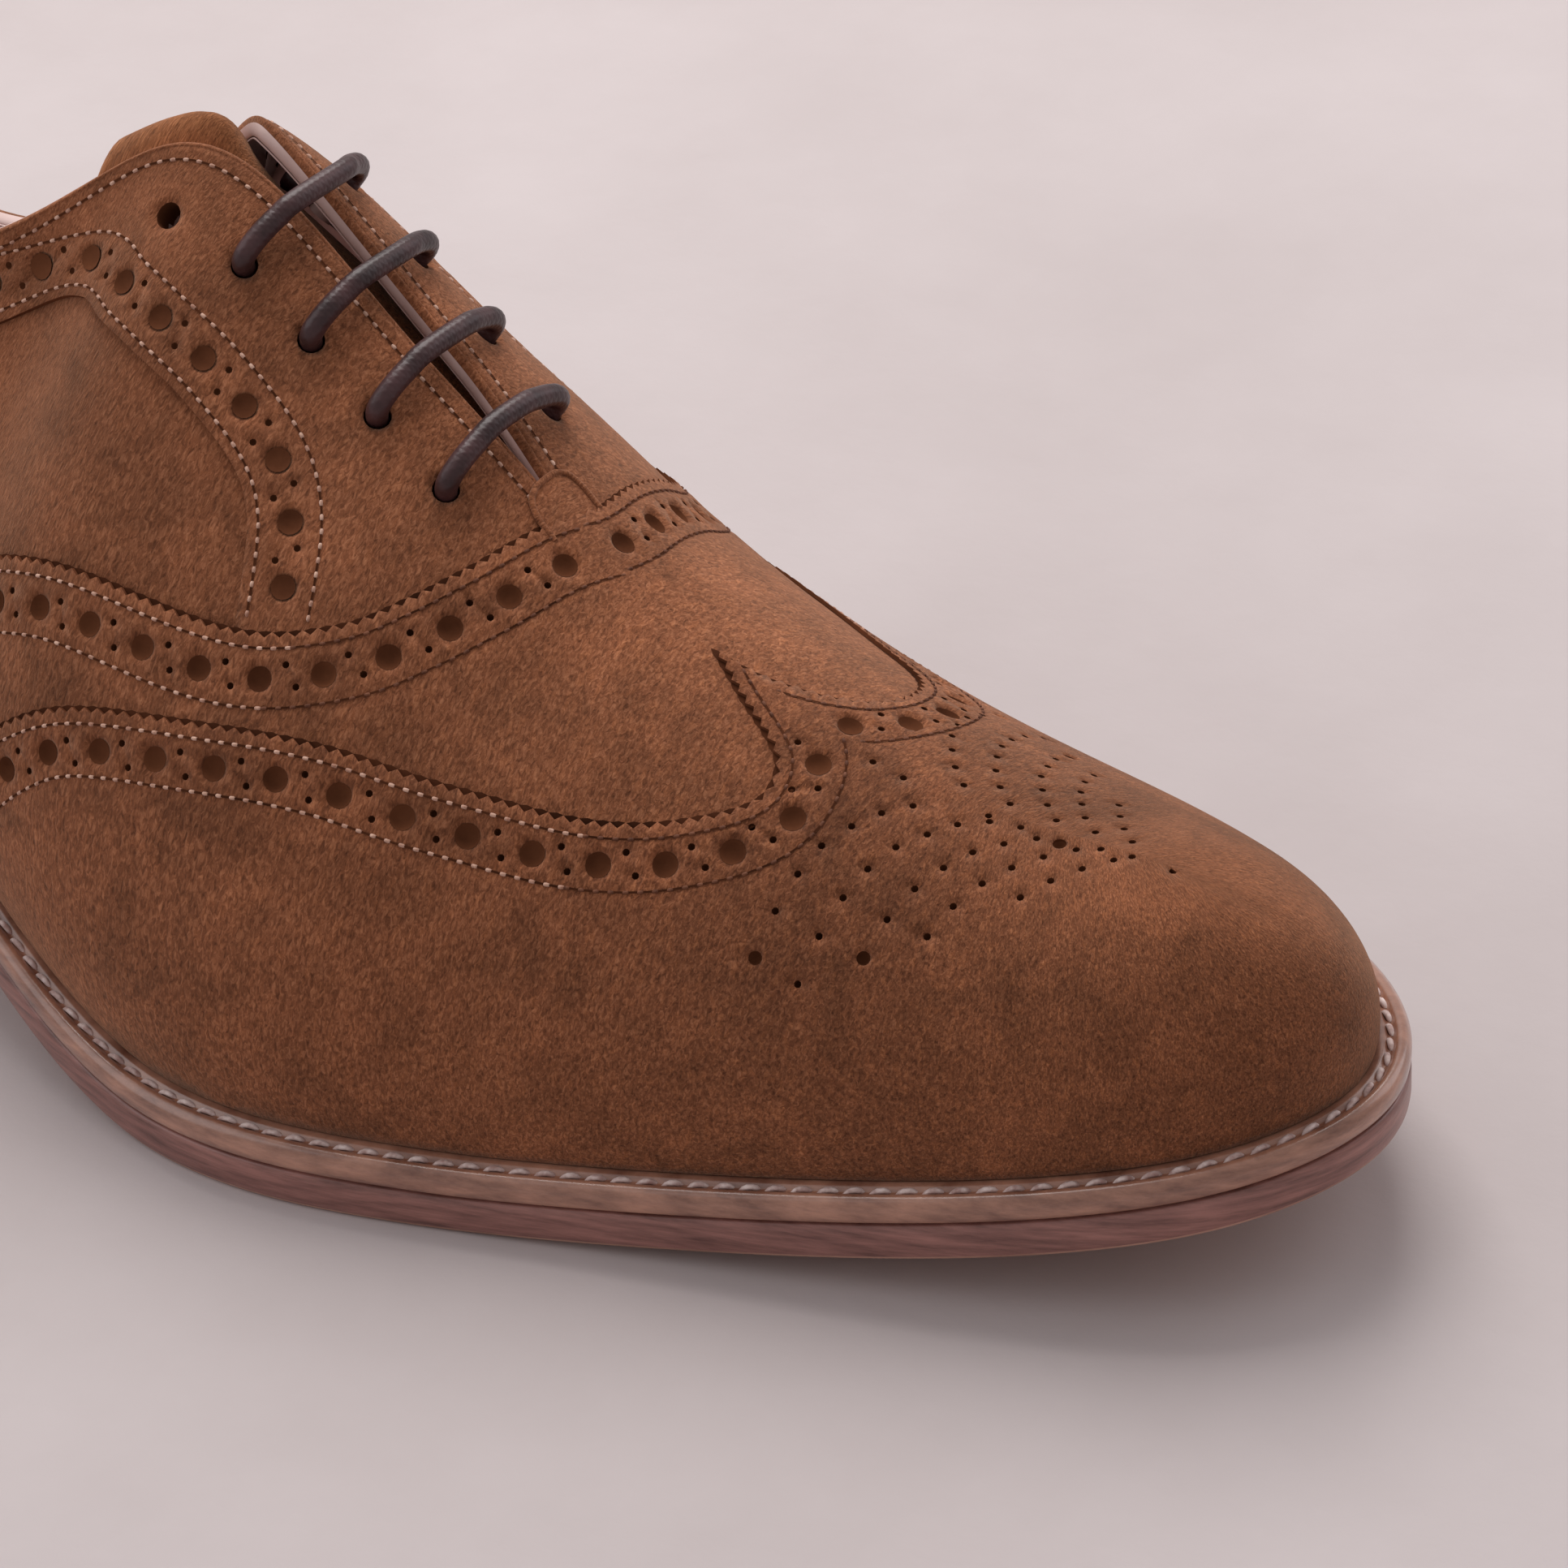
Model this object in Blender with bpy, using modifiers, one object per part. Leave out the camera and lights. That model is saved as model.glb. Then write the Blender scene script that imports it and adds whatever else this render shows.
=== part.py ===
"""Wingtip oxford, right shoe: a full brogue in suede on a welted leather sole.

Metres, +Z up. The toe points along +X and the wearer's left, the medial side, is +Y.
The origin is a point of the heel's bottom face, a named distance ahead of the last's back.
Every upper piece is read from one function, skin(), which follows the last.
"""
import math

import bmesh
import bpy
import numpy as np
from mathutils import Vector
from mathutils.geometry import delaunay_2d_cdt

# Driving sizes
LAST_LENGTH = 0.295
BALL_WIDTH = 0.097
INSTEP_HEIGHT = 0.080
HEEL_HEIGHT = 0.0246
TOE_SPRING = 0.0130
HEEL_BACK = -0.029

UPPER_WALL = 0.0018
OVERLAY_THICKNESS = 0.0011
WING_THICKNESS = 0.0018
TONGUE_THICKNESS = 0.0020
INSOLE_THICKNESS = 0.0025
INSOLE_CLEARANCE = 0.0009
OUTSOLE_THICKNESS = 0.0052
WELT_THICKNESS = 0.0034
WELT_MARGIN = 0.0044
HEEL_MARGIN = 0.0026
WELT_ROUNDING = 0.0013
LASTING_MARGIN = 0.0100
TOP_PIECE_THICKNESS = 0.0066
HEEL_LIFTS = 3
HEEL_BREAST = 0.0405
HEEL_TAPER = 0.0020
HEEL_SET = 0.0006
HEEL_FRONT_STATION = 8.0

LACE_DIAMETER = 0.0028
EYELET_CLEARANCE = 0.0006
EYELET_COUNT = 5
EYELET_SPACING = 0.0127
EYELET_INSET = 0.0098
EYELET_RADIUS = LACE_DIAMETER / 2 + EYELET_CLEARANCE
LACED_EYELETS = 4

# Gap kept between pieces that touch
SEAM = 0.0003
EDGE_GAP = 2 * SEAM
WELD_DISTANCE = 1e-5

# Depths of the layers under the fitted outer skin
WALL_DEPTH = 0.0016
OVERLAY_TOP = WALL_DEPTH - SEAM - OVERLAY_THICKNESS
WING_TOP = WALL_DEPTH - SEAM - WING_THICKNESS
LINING_DEPTH = WALL_DEPTH + UPPER_WALL
LACE_RADIUS = LACE_DIAMETER / 2
LACE_INNER_DEPTH = LINING_DEPTH + EDGE_GAP + LACE_RADIUS
LACE_OVER = LACE_RADIUS + EDGE_GAP - OVERLAY_TOP
LACE_SWAY = LACE_DIAMETER + EDGE_GAP
TONGUE_SEATED = LINING_DEPTH + EDGE_GAP
TONGUE_DEPTH = LACE_INNER_DEPTH + LACE_RADIUS + EDGE_GAP

# Shares of the last's length where the sole leaves the heel, meets the floor and rises
ARCH_REAR = 0.25
ARCH_FRONT = 0.56
SPRING_START = 0.68
SPRING_POWER = 1.6

# Shares of the last's length over which the sole's edge widens from heel to forefoot
MARGIN_START = 0.20
MARGIN_RUN = 0.30

# Stations run from the toe tip to the heel back. Lengths are shares of LAST_LENGTH, widths of
# BALL_WIDTH, heights of INSTEP_HEIGHT, and angles are degrees.
STATION_COLUMNS = ("along", "lateral", "medial", "crown_along", "crown_side", "rim_half", "rim_tilt",
                   "crown_height", "lean", "side_reach", "drop", "crown_reach")
STATIONS = (
    (1.000, -0.038, 0.038, 0.935, 0.005, 0.000, 0.00, 0.293, 8, 0.165, 0, 0.165),
    (0.978, 0.114, 0.188, 0.915, 0.003, 0.000, 0.00, 0.320, 8, 0.150, 0, 0.165),
    (0.930, 0.222, 0.304, 0.885, 0.000, 0.000, 0.00, 0.352, 8, 0.140, 1, 0.185),
    (0.860, 0.316, 0.395, 0.840, -0.015, 0.000, 0.00, 0.412, 8, 0.130, 2, 0.227),
    (0.760, 0.423, 0.458, 0.763, -0.026, 0.000, 0.00, 0.525, 10, 0.143, 3, 0.247),
    (0.670, 0.518, 0.475, 0.665, -0.005, 0.000, 0.00, 0.680, 12, 0.220, 6, 0.247),
    (0.570, 0.578, 0.430, 0.580, 0.042, 0.026, 0.00, 0.880, 16, 0.348, 12, 0.227),
    (0.460, 0.505, 0.340, 0.490, 0.082, 0.036, 0.00, 1.025, 20, 0.400, 20, 0.227),
    (0.390, 0.430, 0.295, 0.432, 0.072, 0.078, 0.00, 0.975, 20, 0.330, 50, 0.190),
    (0.320, 0.375, 0.280, 0.370, 0.030, 0.145, 0.02, 0.715, 18, 0.280, 72, 0.165),
    (0.220, 0.335, 0.285, 0.265, 0.000, 0.220, 0.03, 0.535, 14, 0.230, 82, 0.165),
    (0.120, 0.305, 0.285, 0.140, 0.000, 0.237, 0.025, 0.550, 10, 0.230, 84, 0.165),
    (0.040, 0.215, 0.205, 0.055, 0.000, 0.165, 0.01, 0.635, 12, 0.250, 84, 0.175),
    (0.000, 0.000, 0.000, 0.030, 0.000, 0.000, 0.00, 0.690, 14, 0.270, 86, 0.185),
)
HEEL_STATION = len(STATIONS) - 1
THROAT_STATION = 5.0

# The medial topline falls away behind its facing, and meets the lateral one again at the heel
MEDIAL_DROP = 0.0060
MEDIAL_DROP_ENDS = (7.40, 8.40)
MEDIAL_RETURN_ENDS = (9.0, 12.5)

# Seam lines on each side: station and height, the share of the way from feather to crown
VAMP_LINE = ((5.25, 1.00), (5.36, 0.91), (5.50, 0.82), (5.65, 0.72), (5.85, 0.645), (6.20, 0.570),
             (6.80, 0.50), (7.45, 0.44), (8.20, 0.40), (9.00, 0.385), (9.77, 0.38))
WING_LINE = ((4.52, 1.00), (4.35, 0.97), (4.17, 0.935), (4.05, 0.88), (4.03, 0.82), (4.13, 0.75),
             (4.30, 0.69), (4.50, 0.64), (4.80, 0.610), (5.26, 0.565), (5.72, 0.525), (6.20, 0.465),
             (6.70, 0.38), (7.08, 0.29), (7.45, 0.19), (7.80, 0.09), (8.10, 0.00))
FACING_LINE = ((6.25, 0.580), (6.30, 0.62), (6.38, 0.665), (6.52, 0.692), (6.80, 0.70), (7.20, 0.70),
               (7.60, 0.715), (8.00, 0.752), (8.50, 0.775), (9.50, 0.765), (11.0, 0.76), (13.0, 0.77))
COUNTER_LINE = ((9.80, 0.38), (10.60, 0.385), (11.40, 0.41), (12.20, 0.46), (13.0, 0.50))

# The tongue's rows: how far it reaches down each side as a share of the way to the feather,
# how deep it lies between its seat on the lining and its place under the lace, and how far
# its middle lifts, as a share of TONGUE_LIFT
TONGUE_COLUMNS = ("station", "spread", "depth", "lift")
TONGUE_ROWS = ((4.55, 0.140, 0.00, 0.00), (4.75, 0.150, 0.00, 0.00), (5.00, 0.165, 0.26, 0.00),
               (5.25, 0.180, 0.74, 0.00), (5.50, 0.195, 1.00, 0.00), (5.80, 0.210, 1.00, 0.00),
               (6.20, 0.230, 1.00, 0.00), (6.60, 0.240, 1.00, 0.00), (6.95, 0.240, 1.00, 0.12),
               (7.25, 0.230, 1.00, 0.42), (7.50, 0.215, 1.00, 0.74), (7.75, 0.190, 0.70, 0.84),
               (8.00, 0.170, 0.45, 0.94), (8.25, 0.150, 0.30, 1.00), (8.50, 0.130, 0.25, 1.00))
TONGUE_LIFT = 0.0095
TONGUE_ACROSS = (1.0, 0.8, 0.6, 0.4)

# A point inside the foot's space and one under the tongue, which tell outside from inside
INSIDE_POINT = (0.12, 0.0, 0.05)
UNDER_TONGUE = (0.12, 0.0, 0.03)

# Where the facing's collar ends below the rim, and where the lowest eyelet lies
RIM_EDGE = 0.993
FIRST_EYELET = 5.76

# Mesh fineness
STATION_STEPS = ((0, 3, 4), (3, 7, 3), (7, 8, 7), (8, 9, 5), (9, HEEL_STATION, 3))
WALL_HEIGHTS = (0.0, 0.09, 0.20, 0.33, 0.47, 0.61, 0.74, 0.84, 0.92, 1.0)
CHART_STATION = 0.020
CHART_HEIGHT = 0.075
LINE_SPACING = 0.0045
STEINER_MARGIN = 0.003
EYELET_SIDES = 12
EYELET_CUT = 0.012
HEEL_SAMPLES = 41
HEEL_POINTS = 17
SHARP_ANGLE = 40


def smooth_step(value):
    value = np.clip(value, 0.0, 1.0)
    return value * value * (3.0 - 2.0 * value)


def underside(x):
    """Height of the outsole's underside: flat under the heel seat and ball, sprung at the toe."""
    share = (np.asarray(x, float) - HEEL_BACK) / LAST_LENGTH
    arch = HEEL_HEIGHT * smooth_step((ARCH_FRONT - share) / (ARCH_FRONT - ARCH_REAR))
    rise = np.clip((share - SPRING_START) / (1.0 - SPRING_START), 0.0, None)
    return arch + TOE_SPRING * rise ** SPRING_POWER


def outsole_top(x):
    return underside(x) + OUTSOLE_THICKNESS


def welt_bottom(x):
    return outsole_top(x) + SEAM


def feather_height(x):
    return welt_bottom(x) + WELT_THICKNESS + SEAM


def loop_spline():
    """Closed cubic spline through the stations: toe, lateral side, heel, medial side, toe."""
    def loop_row(row, side):
        width = row[STATION_COLUMNS.index("medial" if side > 0 else "lateral")]
        return (row[0], side * width, side) + row[3:]

    rows = [loop_row(row, -1) for row in STATIONS]
    rows += [loop_row(row, 1) for row in STATIONS[-2:0:-1]]
    values = np.array(rows, float)
    unit = np.eye(len(values))
    matrix = 4.0 * unit + np.roll(unit, 1, 0) + np.roll(unit, -1, 0)
    turns = np.roll(values, -1, 0) - 2.0 * values + np.roll(values, 1, 0)
    return values, np.linalg.solve(matrix, 6.0 * turns)


LOOP, LOOP_BENDS = loop_spline()
LOOP_COUNT = len(LOOP)
LOOP_COLUMNS = ("along", "width", "side") + STATION_COLUMNS[3:]


def station_values(station):
    station = np.asarray(station, float) % LOOP_COUNT
    first = np.floor(station).astype(int) % LOOP_COUNT
    second = (first + 1) % LOOP_COUNT
    b = (station - np.floor(station))[..., None]
    a = 1.0 - b
    values = a * LOOP[first] + b * LOOP[second]
    values += (a ** 3 - a) * LOOP_BENDS[first] / 6.0 + (b ** 3 - b) * LOOP_BENDS[second] / 6.0
    return {name: values[..., i] for i, name in enumerate(LOOP_COLUMNS)}


def from_toe(station):
    """Stations between a place on the loop and the toe tip, the same on both sides."""
    half = LOOP_COUNT / 2
    return np.abs((np.asarray(station, float) + half) % LOOP_COUNT - half)


def medial_drop(station):
    start, end = MEDIAL_DROP_ENDS
    back, home = MEDIAL_RETURN_ENDS
    fall = smooth_step((station - start) / (end - start))
    return MEDIAL_DROP * (fall - smooth_step((station - back) / (home - back)))


def feather_and_crown(station):
    station = np.asarray(station, float)
    v = station_values(station)
    side = np.where(station % LOOP_COUNT <= HEEL_STATION, -1.0, 1.0)
    x = HEEL_BACK + LAST_LENGTH * v["along"]
    base = feather_height(x)
    feather = np.stack([x, BALL_WIDTH * v["width"], base], -1)
    rim = np.where(from_toe(station) < THROAT_STATION, 0.0, np.maximum(v["rim_half"], 0.0))
    crown_x = HEEL_BACK + LAST_LENGTH * v["crown_along"]
    crown_y = BALL_WIDTH * (v["crown_side"] + side * rim)
    crown_z = base + INSTEP_HEIGHT * (v["crown_height"] - side * v["rim_tilt"])
    crown_z -= np.where(side > 0, medial_drop(from_toe(station)), 0.0)
    crown = np.stack([crown_x, crown_y, crown_z], -1)
    return feather, crown, v


def crown_profile():
    """Slope of the shoe's top line, as places along it and rise over run."""
    _, crown, _ = feather_and_crown(np.linspace(0.0, HEEL_STATION, 400))
    order = np.argsort(crown[:, 0])
    x = crown[order, 0]
    return x, np.gradient(crown[order, 2], x + np.arange(len(x)) * 1e-9)


CROWN_X, CROWN_SLOPE = crown_profile()


def outward(station):
    """Unit plan direction that points out of the foot at the feather line."""
    step = 1e-3
    ahead, _, _ = feather_and_crown(np.asarray(station, float) + step)
    behind, _, _ = feather_and_crown(np.asarray(station, float) - step)
    along = (ahead - behind)[..., :2]
    along = along / np.linalg.norm(along, axis=-1, keepdims=True)
    return np.stack([-along[..., 1], along[..., 0]], -1)


def surface(station, height):
    """Point on the last's skin, on a rib that climbs from the feather line to the crown."""
    station, height = np.broadcast_arrays(np.asarray(station, float), np.asarray(height, float))
    feather, crown, v = feather_and_crown(station)
    out = outward(station)
    plan = feather - crown
    plan[..., 2] = 0.0
    lean = np.radians(v["lean"])[..., None]
    drop = np.radians(v["drop"])[..., None]
    climb = np.concatenate([out * np.sin(lean), np.cos(lean)], -1)
    across = plan / (np.linalg.norm(plan, axis=-1, keepdims=True) + 1e-9)
    across[..., 2] = across[..., 0] * np.interp(crown[..., 0], CROWN_X, CROWN_SLOPE)
    across = across / np.linalg.norm(across, axis=-1, keepdims=True)
    fall = across * np.cos(drop) - np.array([0.0, 0.0, 1.0]) * np.sin(drop)
    low = feather + climb * (INSTEP_HEIGHT * v["side_reach"])[..., None]
    high = crown + fall * (BALL_WIDTH * v["crown_reach"])[..., None]
    q = height[..., None]
    near = (1 - q) ** 3 * feather + 3 * (1 - q) ** 2 * q * low
    return near + 3 * (1 - q) * q ** 2 * high + q ** 3 * crown


def side_normal(station, height):
    step = 2e-3
    height = np.clip(height, 0.004, 0.98)
    along = surface(station + step, height) - surface(station - step, height)
    up = surface(station, height + step) - surface(station, height - step)
    normal = np.cross(up, along)
    return normal / np.linalg.norm(normal, axis=-1, keepdims=True)


def skin(station, height, depth=0.0):
    """Point under the outer skin by a depth, shared by both sides where the crown is closed."""
    station, height = np.broadcast_arrays(np.asarray(station, float), np.asarray(height, float))
    normal = side_normal(station, height)
    other = side_normal(-station, height)
    closed = (height > 0.999) & (from_toe(station) <= THROAT_STATION)
    normal = np.where(closed[..., None], normal + other, normal)
    normal = normal / np.linalg.norm(normal, axis=-1, keepdims=True)
    point = surface(station, height)
    mate = surface(-station, height)
    point = np.where(closed[..., None], (point + mate) / 2, point)
    return point - normal * np.asarray(depth)[..., None]


def foot_outline(stations, margin):
    """Plan points round the foot, moved out from the feather line by a margin."""
    feather, _, _ = feather_and_crown(stations)
    return feather[:, :2] + outward(stations) * np.asarray(margin)[..., None]


def sole_margin(station):
    """How far the welt and outsole stand out, wider at the forefoot than at the heel."""
    share = station_values(station)["along"]
    return HEEL_MARGIN + (WELT_MARGIN - HEEL_MARGIN) * smooth_step((share - MARGIN_START) / MARGIN_RUN)


def side_stations():
    """Mesh stations of one side, from the toe tip to the heel back."""
    stations = []
    for first, last, steps in STATION_STEPS:
        stations += [first + i / steps for i in range((last - first) * steps)]
    return stations + [float(HEEL_STATION)]


def loop_stations():
    side = side_stations()
    return np.array(side + [-s for s in side[-2:0:-1]])


def smooth_line(rows):
    """Evenly spaced points on a smooth curve through the rows of a seam line."""
    rows = np.array(rows, float)
    padded = np.vstack([2 * rows[0] - rows[1], rows, 2 * rows[-1] - rows[-2]])
    points = []
    for i in range(1, len(padded) - 2):
        a, b, c, d = padded[i - 1:i + 3]
        length = np.linalg.norm((c - b) * (CHART_STATION, CHART_HEIGHT))
        samples = max(1, round(length / LINE_SPACING))
        for k in range(samples):
            t = k / samples
            points.append(0.5 * (2 * b + (c - a) * t + (2 * a - 5 * b + 4 * c - d) * t ** 2
                                 + (3 * b - a - 3 * c + d) * t ** 3))
    points.append(rows[-1])
    return np.array(points)


# Blender objects
def clear_scene():
    for obj in list(bpy.data.objects):
        bpy.data.objects.remove(obj, do_unlink=True)


def new_collection(name):
    collection = bpy.data.collections.new(name)
    bpy.context.scene.collection.children.link(collection)
    return collection


def make_material(name, colour, roughness, metallic=0.0):
    material = bpy.data.materials.new(name)
    material.use_nodes = True
    shader = material.node_tree.nodes["Principled BSDF"]
    shader.inputs["Base Color"].default_value = (*colour, 1.0)
    shader.inputs["Roughness"].default_value = roughness
    shader.inputs["Metallic"].default_value = metallic
    return material


def add_object(name, verts, faces, material):
    mesh = bpy.data.meshes.new(name)
    mesh.from_pydata([tuple(map(float, v)) for v in verts], [], faces)
    bm = bmesh.new()
    bm.from_mesh(mesh)
    bmesh.ops.remove_doubles(bm, verts=bm.verts, dist=WELD_DISTANCE)
    bmesh.ops.recalc_face_normals(bm, faces=bm.faces)
    bm.to_mesh(mesh)
    bm.free()
    mesh.shade_smooth()
    mesh.materials.append(material)
    obj = bpy.data.objects.new(name, mesh)
    PARTS.objects.link(obj)
    return obj


def face_outwards(obj, centre):
    """Turn an open surface so that its faces look away from a point."""
    mesh = obj.data
    middle = Vector(centre)
    score = sum((p.center - middle).dot(p.normal) * p.area for p in mesh.polygons)
    if score < 0:
        mesh.flip_normals()


def thicken(obj, thickness):
    """Give an open surface a wall on the side that its faces look away from."""
    solid = obj.modifiers.new("wall", "SOLIDIFY")
    solid.thickness = thickness
    solid.offset = -1.0
    solid.use_even_offset = True
    return obj


def ring_grid(rows, closed_top=False):
    """Vertices and quads of a grid of closed rows, each row with the same number of points."""
    count = len(rows[0])
    verts = [p for row in rows for p in row]
    faces = []
    last = len(rows) if closed_top else len(rows) - 1
    for r in range(last):
        for c in range(count):
            d = (c + 1) % count
            e = ((r + 1) % len(rows)) * count
            faces.append((r * count + c, r * count + d, e + d, e + c))
    return verts, faces


# Upper
def make_upper(suede):
    stations = loop_stations()
    foot = foot_outline(stations, -WALL_DEPTH)
    tucked = foot_outline(stations, -WALL_DEPTH - UPPER_WALL)
    flange = foot_outline(stations, -WALL_DEPTH - LASTING_MARGIN)
    rows = [np.column_stack([flange, welt_bottom(flange[:, 0])]),
            np.column_stack([tucked, welt_bottom(tucked[:, 0])]),
            np.column_stack([foot, welt_bottom(foot[:, 0]) + UPPER_WALL])]
    rows += [skin(stations, height, WALL_DEPTH) for height in WALL_HEIGHTS]
    verts, faces = ring_grid(rows)
    upper = add_object("upper", verts, faces, suede)
    face_outwards(upper, INSIDE_POINT)
    thicken(upper, UPPER_WALL)
    cut_eyelets(upper, "upper")
    return upper


def panel(name, outlines, depth, thickness, material):
    """An overlay filled between seam lines and thickened down to the upper's wall."""
    side = np.array(side_stations())
    verts = []
    faces = []
    for outline in outlines:
        sign = 1.0 if np.sum(outline[:, 0]) >= 0 else -1.0
        inner = [(sign * s, h) for s in side for h in WALL_HEIGHTS[1:-1]
                 if inside_by(outline, sign * s, h, STEINER_MARGIN)]
        chart = [Vector((s * CHART_STATION, h * CHART_HEIGHT)) for s, h in outline]
        chart += [Vector((s * CHART_STATION, h * CHART_HEIGHT)) for s, h in inner]
        loop = list(range(len(outline)))
        points, _, triangles, *_ = delaunay_2d_cdt(chart, [], [loop], 1, 1e-7)
        start = len(verts)
        stations = np.array([p.x / CHART_STATION for p in points])
        heights = np.clip([p.y / CHART_HEIGHT for p in points], 0.0, 1.0)
        verts += list(skin(stations, heights, depth))
        faces += [tuple(start + i for i in triangle) for triangle in triangles]
    obj = add_object(name, verts, faces, material)
    face_outwards(obj, INSIDE_POINT)
    return thicken(obj, thickness)


def inside_by(outline, station, height, margin):
    """Whether a chart point is inside an outline and clear of its edge by a margin."""
    scale = np.array([CHART_STATION, CHART_HEIGHT])
    points = outline * scale
    p = np.array([station, height]) * scale
    a = points
    b = np.roll(points, -1, 0)
    span = b - a
    t = np.clip(((p - a) * span).sum(1) / np.maximum((span ** 2).sum(1), 1e-18), 0, 1)
    if np.min(np.linalg.norm(a + span * t[:, None] - p, axis=1)) < margin:
        return False
    crosses = (a[:, 1] > p[1]) != (b[:, 1] > p[1])
    rise = np.where(b[:, 1] == a[:, 1], 1.0, b[:, 1] - a[:, 1])
    at = a[:, 0] + (p[1] - a[:, 1]) * span[:, 0] / rise
    return bool(np.sum(crosses & (p[0] < at)) % 2)


def edge_run(start, end, height):
    """Outline points along a rib end, at the shared stations between two stations."""
    between = [s for s in side_stations() if min(start, end) + 0.02 < s < max(start, end) - 0.02]
    if start > end:
        between.reverse()
    return np.array([(s, height) for s in [start] + between + [end]])


def rib_run(station, start, end):
    between = [h for h in WALL_HEIGHTS if min(start, end) + 0.02 < h < max(start, end) - 0.02]
    if start > end:
        between.reverse()
    return np.array([(station, h) for h in [start] + between + [end]])


def join_runs(*runs):
    points = [runs[0][0]]
    for run in runs:
        points += [p for p in run if np.abs(p - points[-1]).max() > 1e-6]
    if np.abs(points[0] - points[-1]).max() < 1e-6:
        points.pop()
    return np.array(points)


def both_sides(outline):
    return [outline, outline * np.array([-1.0, 1.0])]


def shift_line(line, gap):
    """A seam line moved sideways over the surface, toward the heel and crown."""
    scale = np.array([CHART_STATION, CHART_HEIGHT])
    points = line * scale
    tangent = np.gradient(points, axis=0)
    tangent = tangent / np.linalg.norm(tangent, axis=1, keepdims=True)
    sideways = np.column_stack([-tangent[:, 1], tangent[:, 0]])
    return (points + sideways * gap) / scale


def wing_outline():
    line = smooth_line(WING_LINE)
    crown = edge_run(0.0, WING_LINE[0][0], 1.0)
    feather = edge_run(WING_LINE[-1][0], 0.0, 0.0)
    return join_runs(rib_run(0.0, 0.0, 1.0), crown, line, feather)


def vamp_outline():
    """Between the vamp line and the wing, with a seam's width kept from the wing."""
    wing = shift_line(smooth_line(WING_LINE), EDGE_GAP)
    wing[0] = (WING_LINE[0][0] + 2 * EDGE_GAP / CHART_STATION, 1.0)
    wing[-1, 1] = 0.0
    vamp = smooth_line(VAMP_LINE)
    end, top = VAMP_LINE[-1]
    crown = edge_run(wing[0][0], VAMP_LINE[0][0], 1.0)
    return join_runs(crown, vamp, rib_run(end, top, 0.0), edge_run(end, wing[-1][0], 0.0), wing[::-1])


def facing_outline():
    """Round the eyelets and along the topline, down to the facing line and the vamp."""
    vamp = shift_line(smooth_line(VAMP_LINE), EDGE_GAP)
    line = smooth_line(FACING_LINE)
    vamp = vamp[(vamp[:, 0] < line[0, 0]) & (vamp[:, 1] > line[0, 1]) & (vamp[:, 1] <= RIM_EDGE)]
    rim = edge_run(HEEL_STATION, vamp[0][0], RIM_EDGE)
    back = rib_run(HEEL_STATION, FACING_LINE[-1][1], RIM_EDGE)
    return join_runs(rim, vamp, line, back)


def counter_outline():
    line = smooth_line(COUNTER_LINE)
    front = COUNTER_LINE[0]
    return join_runs(rib_run(front[0], 0.0, front[1]), line,
                     rib_run(HEEL_STATION, COUNTER_LINE[-1][1], 0.0),
                     edge_run(HEEL_STATION, front[0], 0.0))


# Eyelets and lace
def height_below_rim(station, distance):
    """Height share on a rib at a distance down from the rim."""
    heights = np.linspace(1.0, 0.5, 101)
    points = surface(station, heights)
    run = np.concatenate([[0.0], np.cumsum(np.linalg.norm(np.diff(points, axis=0), axis=1))])
    return float(np.interp(distance, run, heights))


def eyelet_stations():
    """Stations of the eyelets, spaced along the facing from the lowest one."""
    stations = np.linspace(FIRST_EYELET, FIRST_EYELET + 3.0, 301)
    heights = [height_below_rim(s, EYELET_INSET) for s in stations]
    points = surface(stations, np.array(heights))
    run = np.concatenate([[0.0], np.cumsum(np.linalg.norm(np.diff(points, axis=0), axis=1))])
    return [float(np.interp(i * EYELET_SPACING, run, stations)) for i in range(EYELET_COUNT)]


def eyelet_frames():
    """Place and outward direction of each eyelet, keyed by side and number from the lowest."""
    frames = {}
    for number, station in enumerate(eyelet_stations()):
        height = height_below_rim(station, EYELET_INSET)
        for side in (-1, 1):
            loop_station = -side * station
            place = skin(loop_station, height)
            normal = side_normal(np.array(loop_station), np.array(height))
            frames[side, number] = (place, normal, loop_station, height)
    return frames


EYELETS = eyelet_frames()


def cut_eyelets(obj, name):
    bm = bmesh.new()
    for place, normal, _, _ in EYELETS.values():
        turn = Vector(normal).to_track_quat("Z", "Y").to_matrix().to_4x4()
        turn.translation = Vector(place - normal * LINING_DEPTH / 2)
        bmesh.ops.create_cone(bm, cap_ends=True, segments=EYELET_SIDES, radius1=EYELET_RADIUS,
                              radius2=EYELET_RADIUS, depth=EYELET_CUT, matrix=turn)
    mesh = bpy.data.meshes.new(name + "_eyelet_cutter")
    bm.to_mesh(mesh)
    bm.free()
    cutter = bpy.data.objects.new(name + "_eyelet_cutter", mesh)
    cutter.hide_render = True
    cutter.display_type = "WIRE"
    CUTTERS.objects.link(cutter)
    cut = obj.modifiers.new("eyelets", "BOOLEAN")
    cut.operation = "DIFFERENCE"
    cut.solver = "EXACT"
    cut.object = cutter


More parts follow.
